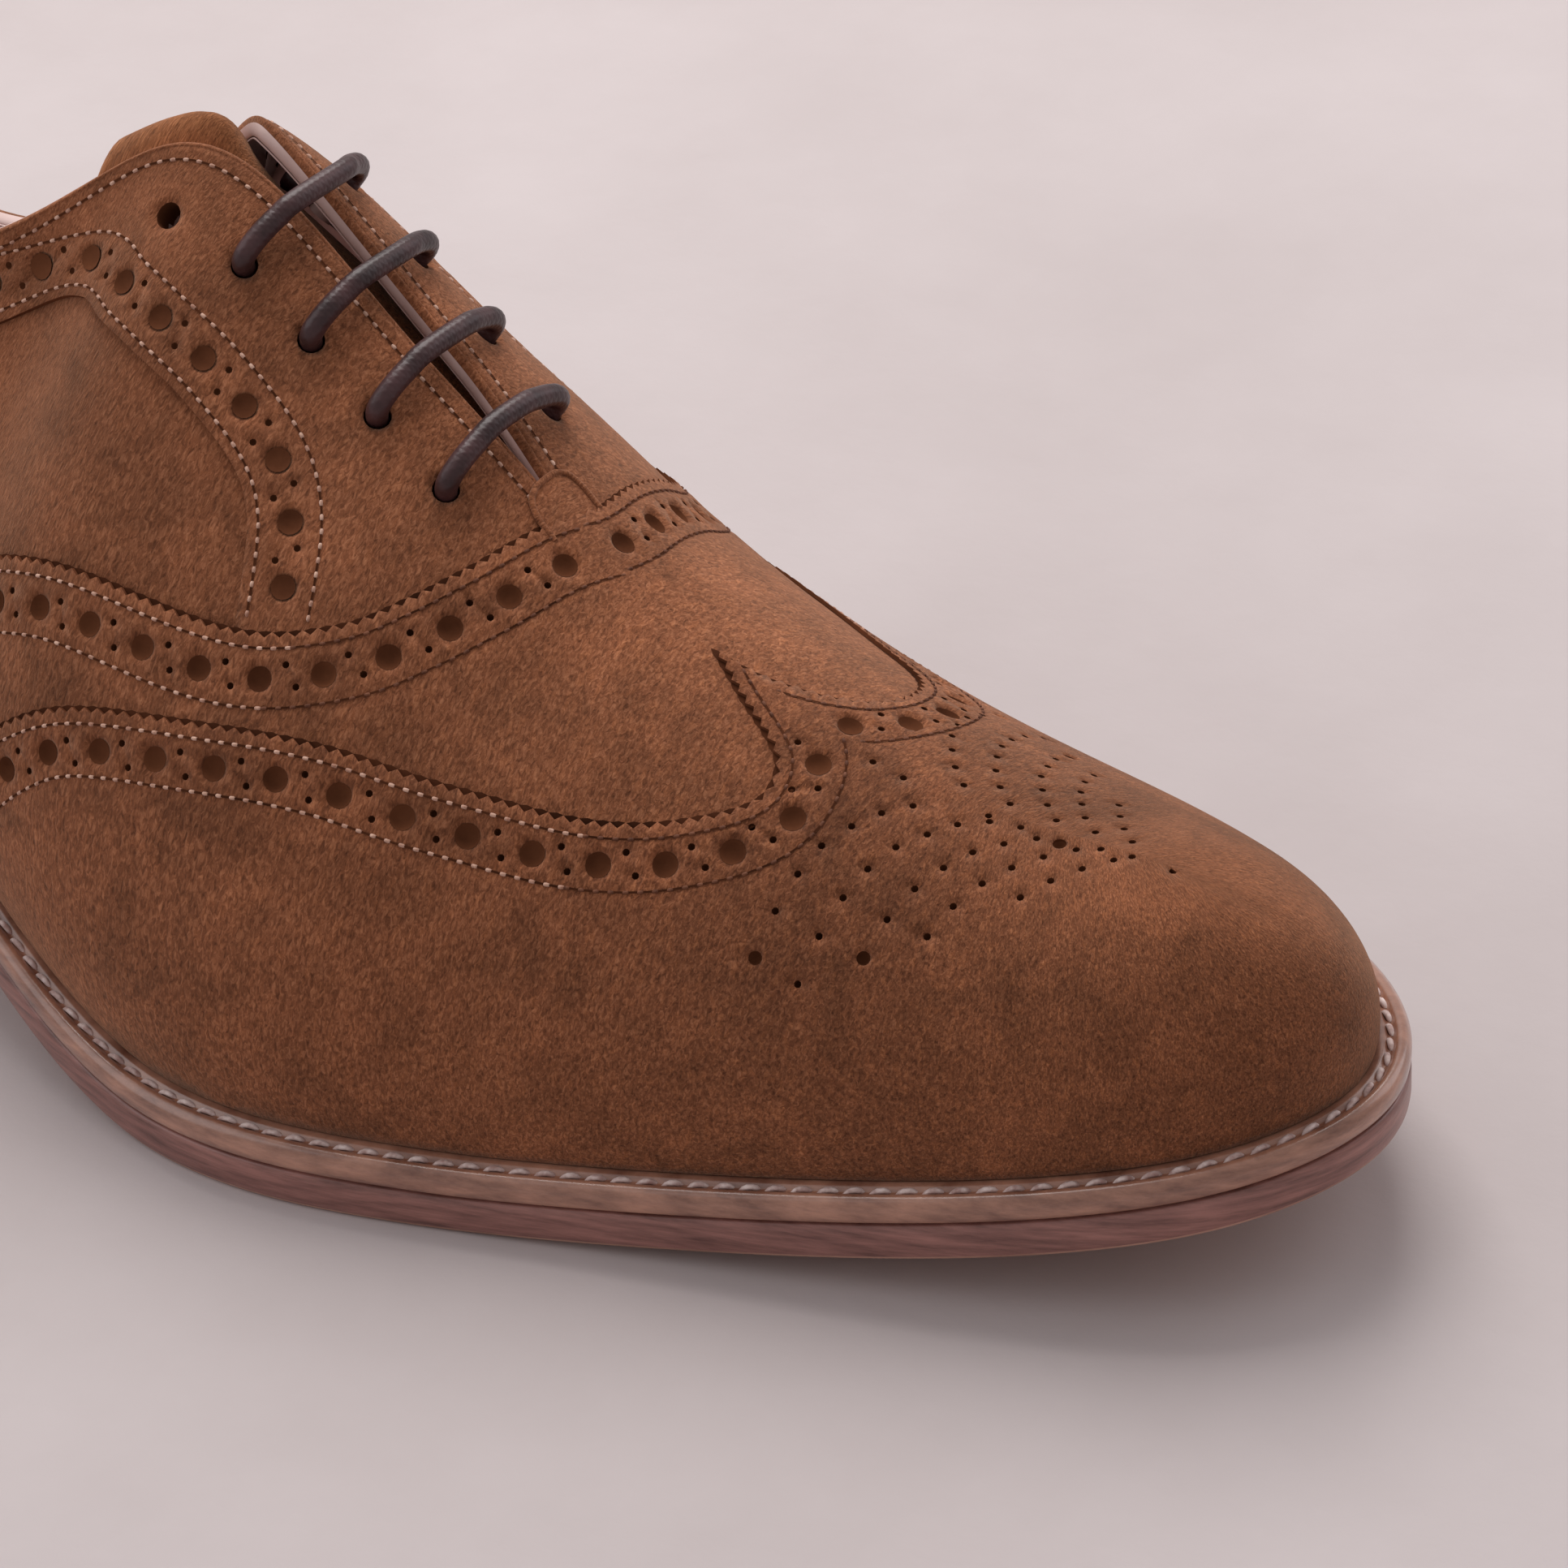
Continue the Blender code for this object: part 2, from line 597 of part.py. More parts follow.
def eyelet_passage(key, next_key):
    """Lace points from above an eyelet to the run under it that leads to another eyelet."""
    place, normal, station, height = EYELETS[key]
    reach = 2.2 * LACE_RADIUS / EYELET_INSET * (1.0 - height)
    above = skin(station, height + reach, -LACE_OVER)
    ahead = above - place - normal * LACE_OVER
    ahead = ahead / np.linalg.norm(ahead)
    _, _, next_station, next_height = EYELETS[next_key]
    below = skin(next_station, next_height, LACE_INNER_DEPTH) - (place - normal * LACE_INNER_DEPTH)
    below = below - normal * np.dot(below, normal)
    below = below / np.linalg.norm(below)
    return [above,
            place + normal * 0.75 * LACE_OVER + ahead * 0.8 * LACE_RADIUS,
            place,
            place - normal * (LINING_DEPTH - SEAM),
            place - normal * (LACE_INNER_DEPTH - 0.45 * LACE_RADIUS) + below * 0.8 * LACE_RADIUS,
            place - normal * LACE_INNER_DEPTH + below * 2.2 * LACE_RADIUS]


def lace_bar(key):
    """Lace points over the facing's edge beside one eyelet."""
    _, _, station, height = EYELETS[key]
    return [skin(station, height + (1.0 - height) * share, -LACE_OVER) for share in (0.6, 0.95)]


def lace_run(start, end, sway=0.0):
    """Lace points under the facing between two eyelets of one side."""
    _, _, first, first_height = EYELETS[start]
    _, _, last, last_height = EYELETS[end]
    count = max(1, 2 * abs(start[1] - end[1]) - 1)
    shares = [(i + 1) / (count + 1) for i in range(count)]
    lower = sway / EYELET_INSET * (1.0 - first_height)
    return [skin(first + (last - first) * f, first_height + (last_height - first_height) * f - lower,
                 LACE_INNER_DEPTH) for f in shares]


def lace_route():
    """Centre line of the lace: a bar over the gap at each laced pair, joined under the facings."""
    near, far = -1, 1
    top = EYELET_COUNT - 1
    long_run = lace_run((far, top), (far, 0), LACE_SWAY)
    points = long_run
    side = far
    below = (far, 1)
    for number in range(LACED_EYELETS):
        start, end = (side, number), (-side, number)
        points = points + eyelet_passage(start, below)[::-1]
        points = points + lace_bar(start) + lace_bar(end)[::-1]
        onward = (-side, number + 1)
        points = points + eyelet_passage(end, onward)
        points = points + lace_run(end, onward)
        below = end
        side = -side
    return points


def make_lace(wax_cotton):
    route = lace_route()
    curve = bpy.data.curves.new("lace", "CURVE")
    curve.dimensions = "3D"
    spline = curve.splines.new("POLY")
    spline.points.add(len(route) - 1)
    for point, place in zip(spline.points, route):
        point.co = (*map(float, place), 1.0)
    curve.bevel_depth = LACE_RADIUS
    curve.bevel_resolution = 2
    curve.use_fill_caps = True
    curve.materials.append(wax_cotton)
    lace = bpy.data.objects.new("lace", curve)
    PARTS.objects.link(lace)
    return lace


# Tongue and insole
def make_tongue(lining):
    """A strap of leather under the gap, seated on the vamp below and rising past the facings."""
    rows = []
    across = np.array(TONGUE_ACROSS)
    for station, spread, share, lift in TONGUE_ROWS:
        depth = TONGUE_SEATED + (TONGUE_DEPTH - TONGUE_SEATED) * share
        sides = [skin(np.full(len(across), place), 1.0 - spread * across, depth)
                 for place in (station, -station)]
        crown = skin(np.array([station, -station]), 1.0, depth).mean(axis=0)
        for points in sides:
            points[:, 2] += TONGUE_LIFT * lift * (1.0 - across) ** 3
        crown[2] += TONGUE_LIFT * lift
        rows.append(list(sides[0]) + [crown] + list(sides[1][::-1]))
    count = len(rows[0])
    verts = [p for row in rows for p in row]
    faces = [(r * count + c, r * count + c + 1, (r + 1) * count + c + 1, (r + 1) * count + c)
             for r in range(len(rows) - 1) for c in range(count - 1)]
    tongue = add_object("tongue", verts, faces, lining)
    face_outwards(tongue, UNDER_TONGUE)
    return thicken(tongue, TONGUE_THICKNESS)


def plate(name, stations, margin, base, thickness, material):
    """A plate between both sides of an outline, whose two faces follow a height function."""
    near = foot_outline(stations, margin)
    far = foot_outline(-stations, margin)
    rows = []
    for a, b in zip(near, far):
        low = [(x, y, float(base(x))) for x, y in (a, b)]
        rows.append(low + [(x, y, z + thickness) for x, y, z in reversed(low)])
    verts, faces = ring_grid(rows)
    return add_object(name, verts, faces, material)


def make_insole(lining):
    stations = np.array(side_stations())
    inset = -WALL_DEPTH - 2 * UPPER_WALL - INSOLE_CLEARANCE
    return plate("insole", stations, inset, lambda x: welt_bottom(x) + UPPER_WALL + SEAM,
                 INSOLE_THICKNESS, lining)


# Sole and heel
def make_outsole(leather):
    stations = np.array(side_stations())
    return plate("outsole", stations, sole_margin(stations), underside, OUTSOLE_THICKNESS, leather)


def make_welt(leather):
    """A strip round the foot beside the upper, with its upper outer edge rounded."""
    stations = loop_stations()
    inner = -WALL_DEPTH + SEAM
    outer = sole_margin(stations)
    profile = ((inner, 0.0, 0.0), (0.0, 1.0, 0.0), (0.0, 1.0, WELT_THICKNESS - WELT_ROUNDING),
               (-WELT_ROUNDING, 1.0, WELT_THICKNESS), (inner, 0.0, WELT_THICKNESS))
    rows = []
    for shift, follow, height in profile:
        outline = foot_outline(stations, shift + follow * outer)
        rows.append(np.column_stack([outline, welt_bottom(outline[:, 0]) + height]))
    verts, faces = ring_grid(rows, closed_top=True)
    return add_object("welt", verts, faces, leather)


def heel_outline(drop):
    """Plan outline of the heel block at a distance under the outsole, with a straight breast."""
    inset = HEEL_TAPER * drop / HEEL_HEIGHT
    stations = np.linspace(HEEL_FRONT_STATION, HEEL_STATION, HEEL_SAMPLES)
    near = foot_outline(stations, sole_margin(stations) - HEEL_SET - inset)
    far = foot_outline(-stations, sole_margin(stations) - HEEL_SET - inset)
    breast = HEEL_BREAST - inset

    def cut(line):
        keep = line[line[:, 0] < breast]
        start = np.array([breast, np.interp(breast, line[::-1, 0], line[::-1, 1])])
        return np.vstack([start, keep])

    lateral = cut(near)
    medial = cut(far)
    return resample(lateral, HEEL_POINTS), resample(medial, HEEL_POINTS)


def resample(line, count):
    run = np.concatenate([[0.0], np.cumsum(np.linalg.norm(np.diff(line, axis=0), axis=1))])
    places = np.linspace(0.0, run[-1], count)
    return np.column_stack([np.interp(places, run, line[:, k]) for k in range(2)])


def heel_block(name, top, bottom, material):
    """One layer of the heel, between two distances under the outsole."""
    rings = []
    for drop in (top, bottom):
        lateral, medial = heel_outline(drop)
        ring = np.vstack([lateral, medial[-2::-1]])
        rings.append([(x, y, HEEL_HEIGHT - drop) for x, y in ring])
    count = len(rings[0])
    verts, faces = ring_grid(rings)
    faces += [tuple(range(count)), tuple(range(2 * count - 1, count - 1, -1))]
    obj = add_object(name, verts, faces, material)
    obj.data.set_sharp_from_angle(angle=math.radians(SHARP_ANGLE))
    return obj


def make_heel(leather, rubber):
    body = HEEL_HEIGHT - TOP_PIECE_THICKNESS - SEAM
    pitch = body / HEEL_LIFTS
    for i in range(HEEL_LIFTS):
        heel_block(f"heel_lift_{i + 1}", i * pitch + SEAM, (i + 1) * pitch, leather)
    heel_block("heel_top_piece", body + SEAM, HEEL_HEIGHT, rubber)


clear_scene()
PARTS = new_collection("wingtip_oxford")
CUTTERS = new_collection("cutters")


def build():
    suede = make_material("tan_suede", (0.24, 0.11, 0.07), 0.92)
    wing_suede = make_material("wing_suede", (0.21, 0.095, 0.06), 0.92)
    lining = make_material("lining_leather", (0.62, 0.44, 0.40), 0.6)
    tongue_suede = make_material("tongue_suede", (0.20, 0.09, 0.06), 0.92)
    welt_leather = make_material("welt_leather", (0.25, 0.12, 0.12), 0.45)
    sole_leather = make_material("sole_leather", (0.13, 0.055, 0.05), 0.5)
    heel_leather = make_material("heel_leather", (0.12, 0.05, 0.045), 0.5)
    rubber = make_material("heel_rubber", (0.03, 0.02, 0.02), 0.7)
    wax_cotton = make_material("waxed_cotton", (0.045, 0.02, 0.02), 0.6)

    make_upper(suede)
    panel("wing_cap", both_sides(wing_outline()), WING_TOP, WING_THICKNESS, wing_suede)
    panel("vamp", both_sides(vamp_outline()), OVERLAY_TOP, OVERLAY_THICKNESS, suede)
    facing = panel("facing", both_sides(facing_outline()), OVERLAY_TOP, OVERLAY_THICKNESS, suede)
    cut_eyelets(facing, "facing")
    panel("counter", both_sides(counter_outline()), OVERLAY_TOP, OVERLAY_THICKNESS, suede)
    make_tongue(tongue_suede)
    make_lace(wax_cotton)
    make_insole(lining)
    make_welt(welt_leather)
    make_outsole(sole_leather)
    make_heel(heel_leather, rubber)


build()
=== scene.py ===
"""Looks for the wingtip oxford: suede panels with pinked and punched edges, stitched bands,
a lining, a waxed lace, and a stitched welt on a leather sole. Metres, in the frame of the solids.
"""
import math

import bpy
import numpy as np
from mathutils import Matrix, Vector
from mathutils.geometry import delaunay_2d_cdt


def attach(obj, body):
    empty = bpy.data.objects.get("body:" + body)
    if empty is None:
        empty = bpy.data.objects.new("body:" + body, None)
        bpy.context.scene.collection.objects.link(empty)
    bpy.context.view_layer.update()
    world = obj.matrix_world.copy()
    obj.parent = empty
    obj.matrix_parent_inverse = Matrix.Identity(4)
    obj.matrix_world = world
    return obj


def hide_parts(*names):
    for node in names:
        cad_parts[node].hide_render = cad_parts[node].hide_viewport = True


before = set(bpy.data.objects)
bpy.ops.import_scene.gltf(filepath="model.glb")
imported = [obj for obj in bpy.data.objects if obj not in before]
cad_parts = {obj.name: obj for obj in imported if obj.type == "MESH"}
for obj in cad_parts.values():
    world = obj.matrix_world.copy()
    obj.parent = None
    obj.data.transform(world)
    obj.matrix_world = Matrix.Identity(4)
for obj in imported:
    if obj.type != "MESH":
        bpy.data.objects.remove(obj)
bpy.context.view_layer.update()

# Sizes of the shoe, the same as in the solids
LAST_LENGTH = 0.295
BALL_WIDTH = 0.097
INSTEP_HEIGHT = 0.080
HEEL_HEIGHT = 0.0246
TOE_SPRING = 0.0130
HEEL_BACK = -0.029
OUTSOLE_THICKNESS = 0.0052
WELT_THICKNESS = 0.0034
WELT_MARGIN = 0.0044
HEEL_MARGIN = 0.0026
MARGIN_START = 0.20
MARGIN_RUN = 0.30
TOP_PIECE_THICKNESS = 0.0066
HEEL_LIFTS = 3
HEEL_BREAST = 0.0405
HEEL_TAPER = 0.0020
HEEL_SET = 0.0006
LACE_DIAMETER = 0.0028
EYELET_COUNT = 5
EYELET_SPACING = 0.0127
EYELET_INSET = 0.0098
FIRST_EYELET = 5.76
LACED_EYELETS = 4
SEAM = 0.0003
EDGE_GAP = 2 * SEAM
UPPER_WALL = 0.0018
WALL_DEPTH = 0.0016
LINING_DEPTH = WALL_DEPTH + UPPER_WALL
LACE_RADIUS = LACE_DIAMETER / 2
LACE_INNER_DEPTH = LINING_DEPTH + EDGE_GAP + LACE_RADIUS
LACE_OVER = LACE_RADIUS + EDGE_GAP - 0.0002
LACE_SWAY = LACE_DIAMETER + EDGE_GAP
TONGUE_THICKNESS = 0.0020
TONGUE_SEATED = LINING_DEPTH + EDGE_GAP
TONGUE_DEPTH = LACE_INNER_DEPTH + LACE_RADIUS + EDGE_GAP
TONGUE_LIFT = 0.0120
ARCH_REAR = 0.25
ARCH_FRONT = 0.56
SPRING_START = 0.68
SPRING_POWER = 1.6

# Depths of the visible layers under the last's outer skin
WING_DEPTH = -0.0005
VAMP_DEPTH = 0.0001
FACING_DEPTH = 0.0008
COUNTER_DEPTH = 0.0002

# The last: shares of length, ball width and instep height, and angles in degrees
STATION_COLUMNS = ("along", "lateral", "medial", "crown_along", "crown_side", "rim_half", "rim_tilt",
                   "crown_height", "lean", "side_reach", "drop", "crown_reach")
STATIONS = (
    (1.000, -0.038, 0.038, 0.935, 0.005, 0.000, 0.00, 0.293, 8, 0.165, 0, 0.165),
    (0.978, 0.114, 0.188, 0.915, 0.003, 0.000, 0.00, 0.320, 8, 0.150, 0, 0.165),
    (0.930, 0.222, 0.304, 0.885, 0.000, 0.000, 0.00, 0.352, 8, 0.140, 1, 0.185),
    (0.860, 0.316, 0.395, 0.840, -0.015, 0.000, 0.00, 0.412, 8, 0.130, 2, 0.227),
    (0.760, 0.423, 0.458, 0.763, -0.026, 0.000, 0.00, 0.525, 10, 0.143, 3, 0.247),
    (0.670, 0.518, 0.475, 0.665, -0.005, 0.000, 0.00, 0.680, 12, 0.220, 6, 0.247),
    (0.570, 0.578, 0.430, 0.580, 0.042, 0.026, 0.00, 0.880, 16, 0.348, 12, 0.227),
    (0.460, 0.505, 0.340, 0.490, 0.082, 0.036, 0.00, 1.025, 20, 0.400, 20, 0.227),
    (0.390, 0.430, 0.295, 0.432, 0.072, 0.078, 0.00, 0.975, 20, 0.330, 50, 0.190),
    (0.320, 0.375, 0.280, 0.370, 0.030, 0.145, 0.02, 0.715, 18, 0.280, 72, 0.165),
    (0.220, 0.335, 0.285, 0.265, 0.000, 0.220, 0.03, 0.535, 14, 0.230, 82, 0.165),
    (0.120, 0.305, 0.285, 0.140, 0.000, 0.237, 0.025, 0.550, 10, 0.230, 84, 0.165),
    (0.040, 0.215, 0.205, 0.055, 0.000, 0.165, 0.01, 0.635, 12, 0.250, 84, 0.175),
    (0.000, 0.000, 0.000, 0.030, 0.000, 0.000, 0.00, 0.690, 14, 0.270, 86, 0.185),
)
HEEL_STATION = len(STATIONS) - 1
THROAT_STATION = 5.0
CLOSED_STATION = 5.4
MEDIAL_DROP = 0.0060
MEDIAL_DROP_ENDS = (7.40, 8.40)
MEDIAL_RETURN_ENDS = (9.0, 12.5)

# Seam lines on each side: station and height, the share of the way from feather to crown
VAMP_LINE = ((5.29, 1.00), (5.38, 0.911), (5.45, 0.849), (5.53, 0.795), (5.67, 0.72), (5.86, 0.645),
             (6.20, 0.570), (6.80, 0.50), (7.45, 0.44), (8.20, 0.40), (9.00, 0.385), (9.77, 0.38))
VAMP_LINE_INNER = ((5.29, 1.00), (5.27, 0.968), (5.28, 0.92), (5.33, 0.85), (5.44, 0.71), (5.50, 0.64),
                   (5.62, 0.57), (5.90, 0.51), (6.40, 0.475), (6.90, 0.455), (7.45, 0.43), (8.20, 0.40),
                   (9.00, 0.385),
                   (9.77, 0.38))
WING_LINE = ((4.51, 1.00), (4.43, 0.984), (4.27, 0.950), (4.10, 0.918), (3.99, 0.888), (3.945, 0.85),
             (3.95, 0.81), (4.02, 0.77), (4.12, 0.735), (4.26, 0.695), (4.42, 0.662), (4.60, 0.635),
             (4.80, 0.612), (5.26, 0.565), (5.72, 0.525), (6.20, 0.465), (6.70, 0.38), (7.08, 0.29),
             (7.45, 0.19), (7.80, 0.09), (8.10, 0.00))
WING_LINE_INNER = ((4.51, 1.00), (4.41, 0.994), (4.28, 0.982), (4.16, 0.962), (4.03, 0.933), (3.92, 0.89),
                   (3.87, 0.83), (3.89, 0.765), (3.97, 0.70), (4.13, 0.645), (4.40, 0.60), (4.80, 0.53),
                   (5.26, 0.45), (5.72, 0.37), (6.20, 0.30), (6.70, 0.23), (7.08, 0.16), (7.45, 0.10),
                   (7.80, 0.04), (8.10, 0.00))
FACING_LINE = ((6.25, 0.580), (6.30, 0.62), (6.38, 0.665), (6.52, 0.692), (6.80, 0.70), (7.20, 0.70),
               (7.60, 0.715), (8.00, 0.752), (8.50, 0.775), (9.50, 0.765), (11.0, 0.76), (13.0, 0.77))
COUNTER_LINE = ((9.80, 0.38), (10.60, 0.385), (11.40, 0.41), (12.20, 0.46), (13.0, 0.50))
TONGUE_ROWS = ((4.55, 0.140, 0.00, 0.00), (4.75, 0.150, 0.00, 0.00), (5.00, 0.165, 0.26, 0.00),
               (5.25, 0.180, 0.74, 0.00), (5.50, 0.195, 1.00, 0.00), (5.80, 0.210, 1.00, 0.00),
               (6.20, 0.230, 1.00, 0.00), (6.60, 0.240, 1.00, 0.00), (6.95, 0.240, 1.00, 0.12),
               (7.25, 0.230, 1.00, 0.42), (7.50, 0.215, 1.00, 0.74), (7.75, 0.190, 0.70, 0.84),
               (8.00, 0.170, 0.45, 0.94), (8.25, 0.150, 0.30, 1.00), (8.50, 0.130, 0.25, 1.00))
TONGUE_ACROSS = (1.0, 0.8, 0.6, 0.4)

# Bands: distances in from a panel's edge to the stitch rows and the punched holes between them
WING_ROWS = (0.0020, 0.0084)
WING_HOLES = 0.0052
VAMP_ROWS = (0.0020, 0.0093)
VAMP_HOLES = 0.0057
FACING_ROWS = (0.0014, 0.0094)
FACING_HOLES = 0.0054
HOLE_PITCH = 0.0080
# Depths of the painted shade cups at the bottom of punched holes
SHADE_CUP_DEPTH = 0.00125
CUP = ((1.08, 0.35), (0.80, 0.72), (0.40, 0.95))
LOWEST_SHADE_CUP = 0.00148
HALO = 1.6
BIG_HOLE = 0.00145
MEDIUM_HOLE = 0.00085
PINHOLE = 0.00046
EYELET_HOLE = 0.00175
PINHOLE_SPREAD = 0.0014
TOOTH_PITCH = 0.0019
TOOTH_DEPTH = 0.0007
TUCK = 0.0030

STITCH_PITCH = 0.00180
STITCH_LENGTH = 0.00095
STITCH_RADIUS = 0.00023
# Half width of the painted shade strip along each stitch row
GROOVE_SHADE_HALF = 0.00013
TROUGH_DEPTH = 0.00022
TROUGH_HALF = 0.0011

GRID_STATION = 0.070
GRID_HEIGHT = 0.020
CHART = np.array([0.020, 0.075])
RIDGE_START = 0.80


def smooth_step(value):
    value = np.clip(value, 0.0, 1.0)
    return value * value * (3.0 - 2.0 * value)


def unit(vectors):
    return vectors / (np.linalg.norm(vectors, axis=-1, keepdims=True) + 1e-12)


# The last's surface
def underside(x):
    share = (np.asarray(x, float) - HEEL_BACK) / LAST_LENGTH
    arch = HEEL_HEIGHT * smooth_step((ARCH_FRONT - share) / (ARCH_FRONT - ARCH_REAR))
    rise = np.clip((share - SPRING_START) / (1.0 - SPRING_START), 0.0, None)
    return arch + TOE_SPRING * rise ** SPRING_POWER


def welt_bottom(x):
    return underside(x) + OUTSOLE_THICKNESS + SEAM


def feather_height(x):
    return welt_bottom(x) + WELT_THICKNESS + SEAM


def loop_spline():
    def loop_row(row, side):
        width = row[STATION_COLUMNS.index("medial" if side > 0 else "lateral")]
        return (row[0], side * width, side) + row[3:]

    rows = [loop_row(row, -1) for row in STATIONS]
    rows += [loop_row(row, 1) for row in STATIONS[-2:0:-1]]
    values = np.array(rows, float)
    eye = np.eye(len(values))
    matrix = 4.0 * eye + np.roll(eye, 1, 0) + np.roll(eye, -1, 0)
    turns = np.roll(values, -1, 0) - 2.0 * values + np.roll(values, 1, 0)
    return values, np.linalg.solve(matrix, 6.0 * turns)


LOOP, LOOP_BENDS = loop_spline()
LOOP_COUNT = len(LOOP)
LOOP_COLUMNS = ("along", "width", "side") + STATION_COLUMNS[3:]


def station_values(station):
    station = np.asarray(station, float) % LOOP_COUNT
    first = np.floor(station).astype(int) % LOOP_COUNT
    second = (first + 1) % LOOP_COUNT
    b = (station - np.floor(station))[..., None]
    a = 1.0 - b
    values = a * LOOP[first] + b * LOOP[second]
    values += (a ** 3 - a) * LOOP_BENDS[first] / 6.0 + (b ** 3 - b) * LOOP_BENDS[second] / 6.0
    return {name: values[..., i] for i, name in enumerate(LOOP_COLUMNS)}


def from_toe(station):
    half = LOOP_COUNT / 2
    return np.abs((np.asarray(station, float) + half) % LOOP_COUNT - half)


def medial_drop(station):
    start, end = MEDIAL_DROP_ENDS
    back, home = MEDIAL_RETURN_ENDS
    fall = smooth_step((station - start) / (end - start))
    return MEDIAL_DROP * (fall - smooth_step((station - back) / (home - back)))


def feather_and_crown(station):
    station = np.asarray(station, float)
    v = station_values(station)
    side = np.where(station % LOOP_COUNT <= HEEL_STATION, -1.0, 1.0)
    x = HEEL_BACK + LAST_LENGTH * v["along"]
    base = feather_height(x)
    feather = np.stack([x, BALL_WIDTH * v["width"], base], -1)
    rim = np.where(from_toe(station) < THROAT_STATION, 0.0, np.maximum(v["rim_half"], 0.0))
    crown_x = HEEL_BACK + LAST_LENGTH * v["crown_along"]
    crown_y = BALL_WIDTH * (v["crown_side"] + side * rim)
    crown_z = base + INSTEP_HEIGHT * (v["crown_height"] - side * v["rim_tilt"])
    crown_z -= np.where(side > 0, medial_drop(from_toe(station)), 0.0)
    return feather, np.stack([crown_x, crown_y, crown_z], -1), v


def crown_profile():
    _, crown, _ = feather_and_crown(np.linspace(0.0, HEEL_STATION, 400))
    order = np.argsort(crown[:, 0])
    x = crown[order, 0]
    return x, np.gradient(crown[order, 2], x + np.arange(len(x)) * 1e-9)


CROWN_X, CROWN_SLOPE = crown_profile()


def outward(station):
    ahead, _, _ = feather_and_crown(np.asarray(station, float) + 1e-3)
    behind, _, _ = feather_and_crown(np.asarray(station, float) - 1e-3)
    along = unit((ahead - behind)[..., :2])
    return np.stack([-along[..., 1], along[..., 0]], -1)


def surface(station, height):
    """Point on the last's skin, with the ridge along the closed crown rounded off."""
    station, height = np.broadcast_arrays(np.asarray(station, float), np.asarray(height, float))
    feather, crown, v = feather_and_crown(station)
    out = outward(station)
    plan = feather - crown
    plan[..., 2] = 0.0
    lean = np.radians(v["lean"])[..., None]
    drop = np.radians(v["drop"])[..., None]
    climb = np.concatenate([out * np.sin(lean), np.cos(lean)], -1)
    across = plan / (np.linalg.norm(plan, axis=-1, keepdims=True) + 1e-9)
    across[..., 2] = across[..., 0] * np.interp(crown[..., 0], CROWN_X, CROWN_SLOPE)
    across = unit(across)
    fall = across * np.cos(drop) - np.array([0.0, 0.0, 1.0]) * np.sin(drop)
    low = feather + climb * (INSTEP_HEIGHT * v["side_reach"])[..., None]
    high = crown + fall * (BALL_WIDTH * v["crown_reach"])[..., None]
    q = height[..., None]
    point = (1 - q) ** 3 * feather + 3 * (1 - q) ** 2 * q * low
    point = point + 3 * (1 - q) * q ** 2 * high + q ** 3 * crown
    near = np.clip((height - RIDGE_START) / (1.0 - RIDGE_START), 0.0, 1.0)
    slope = 3 * BALL_WIDTH * v["crown_reach"] * np.sin(drop[..., 0])
    closed = 1.0 - smooth_step((from_toe(station) - 4.8) / 0.9)
    point[..., 2] -= closed * slope * (1.0 - RIDGE_START) * near ** 2 / 2
    return point


def side_normal(station, height):
    step = 2e-3
    height = np.clip(height, 0.004, 0.98)
    along = surface(station + step, height) - surface(station - step, height)
    up = surface(station, height + step) - surface(station, height - step)
    return unit(np.cross(up, along))


def skin_normal(station, height):
    normal = side_normal(station, height)
    closed = (height > 0.999) & (from_toe(station) <= CLOSED_STATION)
    return unit(np.where(closed[..., None], normal + side_normal(-station, height), normal))


def skin(station, height, depth=0.0):
    station, height = np.broadcast_arrays(np.asarray(station, float), np.asarray(height, float))
    closed = (height > 0.999) & (from_toe(station) <= CLOSED_STATION)
    point = surface(station, height)
    point = np.where(closed[..., None], (point + surface(-station, height)) / 2, point)
    return point - skin_normal(station, height) * np.asarray(depth)[..., None]


# Lines on the chart of one side, measured in real lengths
def smooth_line(rows, samples=12):
    rows = np.array(rows, float)
    padded = np.vstack([2 * rows[0] - rows[1], rows, 2 * rows[-1] - rows[-2]])
    points = []
    for i in range(1, len(padded) - 2):
        a, b, c, d = padded[i - 1:i + 3]
        t = (np.arange(samples) / samples)[:, None]
        points.append(0.5 * (2 * b + (c - a) * t + (2 * a - 5 * b + 4 * c - d) * t ** 2
                             + (3 * b - a - 3 * c + d) * t ** 3))
    return np.vstack(points + [rows[-1:]])


def metric(side, points):
    """Gram matrices that turn chart steps into real lengths."""
    step = 2e-3
    s = side * points[:, 0]
    h = np.clip(points[:, 1], 2 * step, 1.0 - 2 * step)
    along = (surface(s + side * step, h) - surface(s - side * step, h)) / (2 * step)
    up = (surface(s, h + step) - surface(s, h - step)) / (2 * step)
    a = (along * along).sum(-1)
    b = (along * up).sum(-1)
    c = (up * up).sum(-1)
    return np.stack([np.stack([a, b], -1), np.stack([b, c], -1)], -2)


def even(side, line, pitch, start=0.0):
    """Points on a line at an even real pitch."""
    places = surface(side * line[:, 0], np.clip(line[:, 1], 0.0, 1.0))
    run = np.concatenate([[0.0], np.cumsum(np.linalg.norm(np.diff(places, axis=0), axis=1))])
    count = max(2, int((run[-1] - 2 * start) / pitch) + 1)
    marks = start + np.linspace(0.0, run[-1] - 2 * start, count)
    return np.column_stack([np.interp(marks, run, line[:, k]) for k in range(2)])


def leftward(side, line):
    """Chart steps of one metre to the left of a line."""
    tangent = np.gradient(line, axis=0)
    gram = metric(side, line)
    lowered = np.einsum("nij,nj->ni", gram, tangent)
    length = np.sqrt(np.einsum("ni,ni->n", lowered, tangent))
    scale = np.sqrt(np.linalg.det(gram)) * length
    return np.column_stack([-lowered[:, 1], lowered[:, 0]]) / scale[:, None]


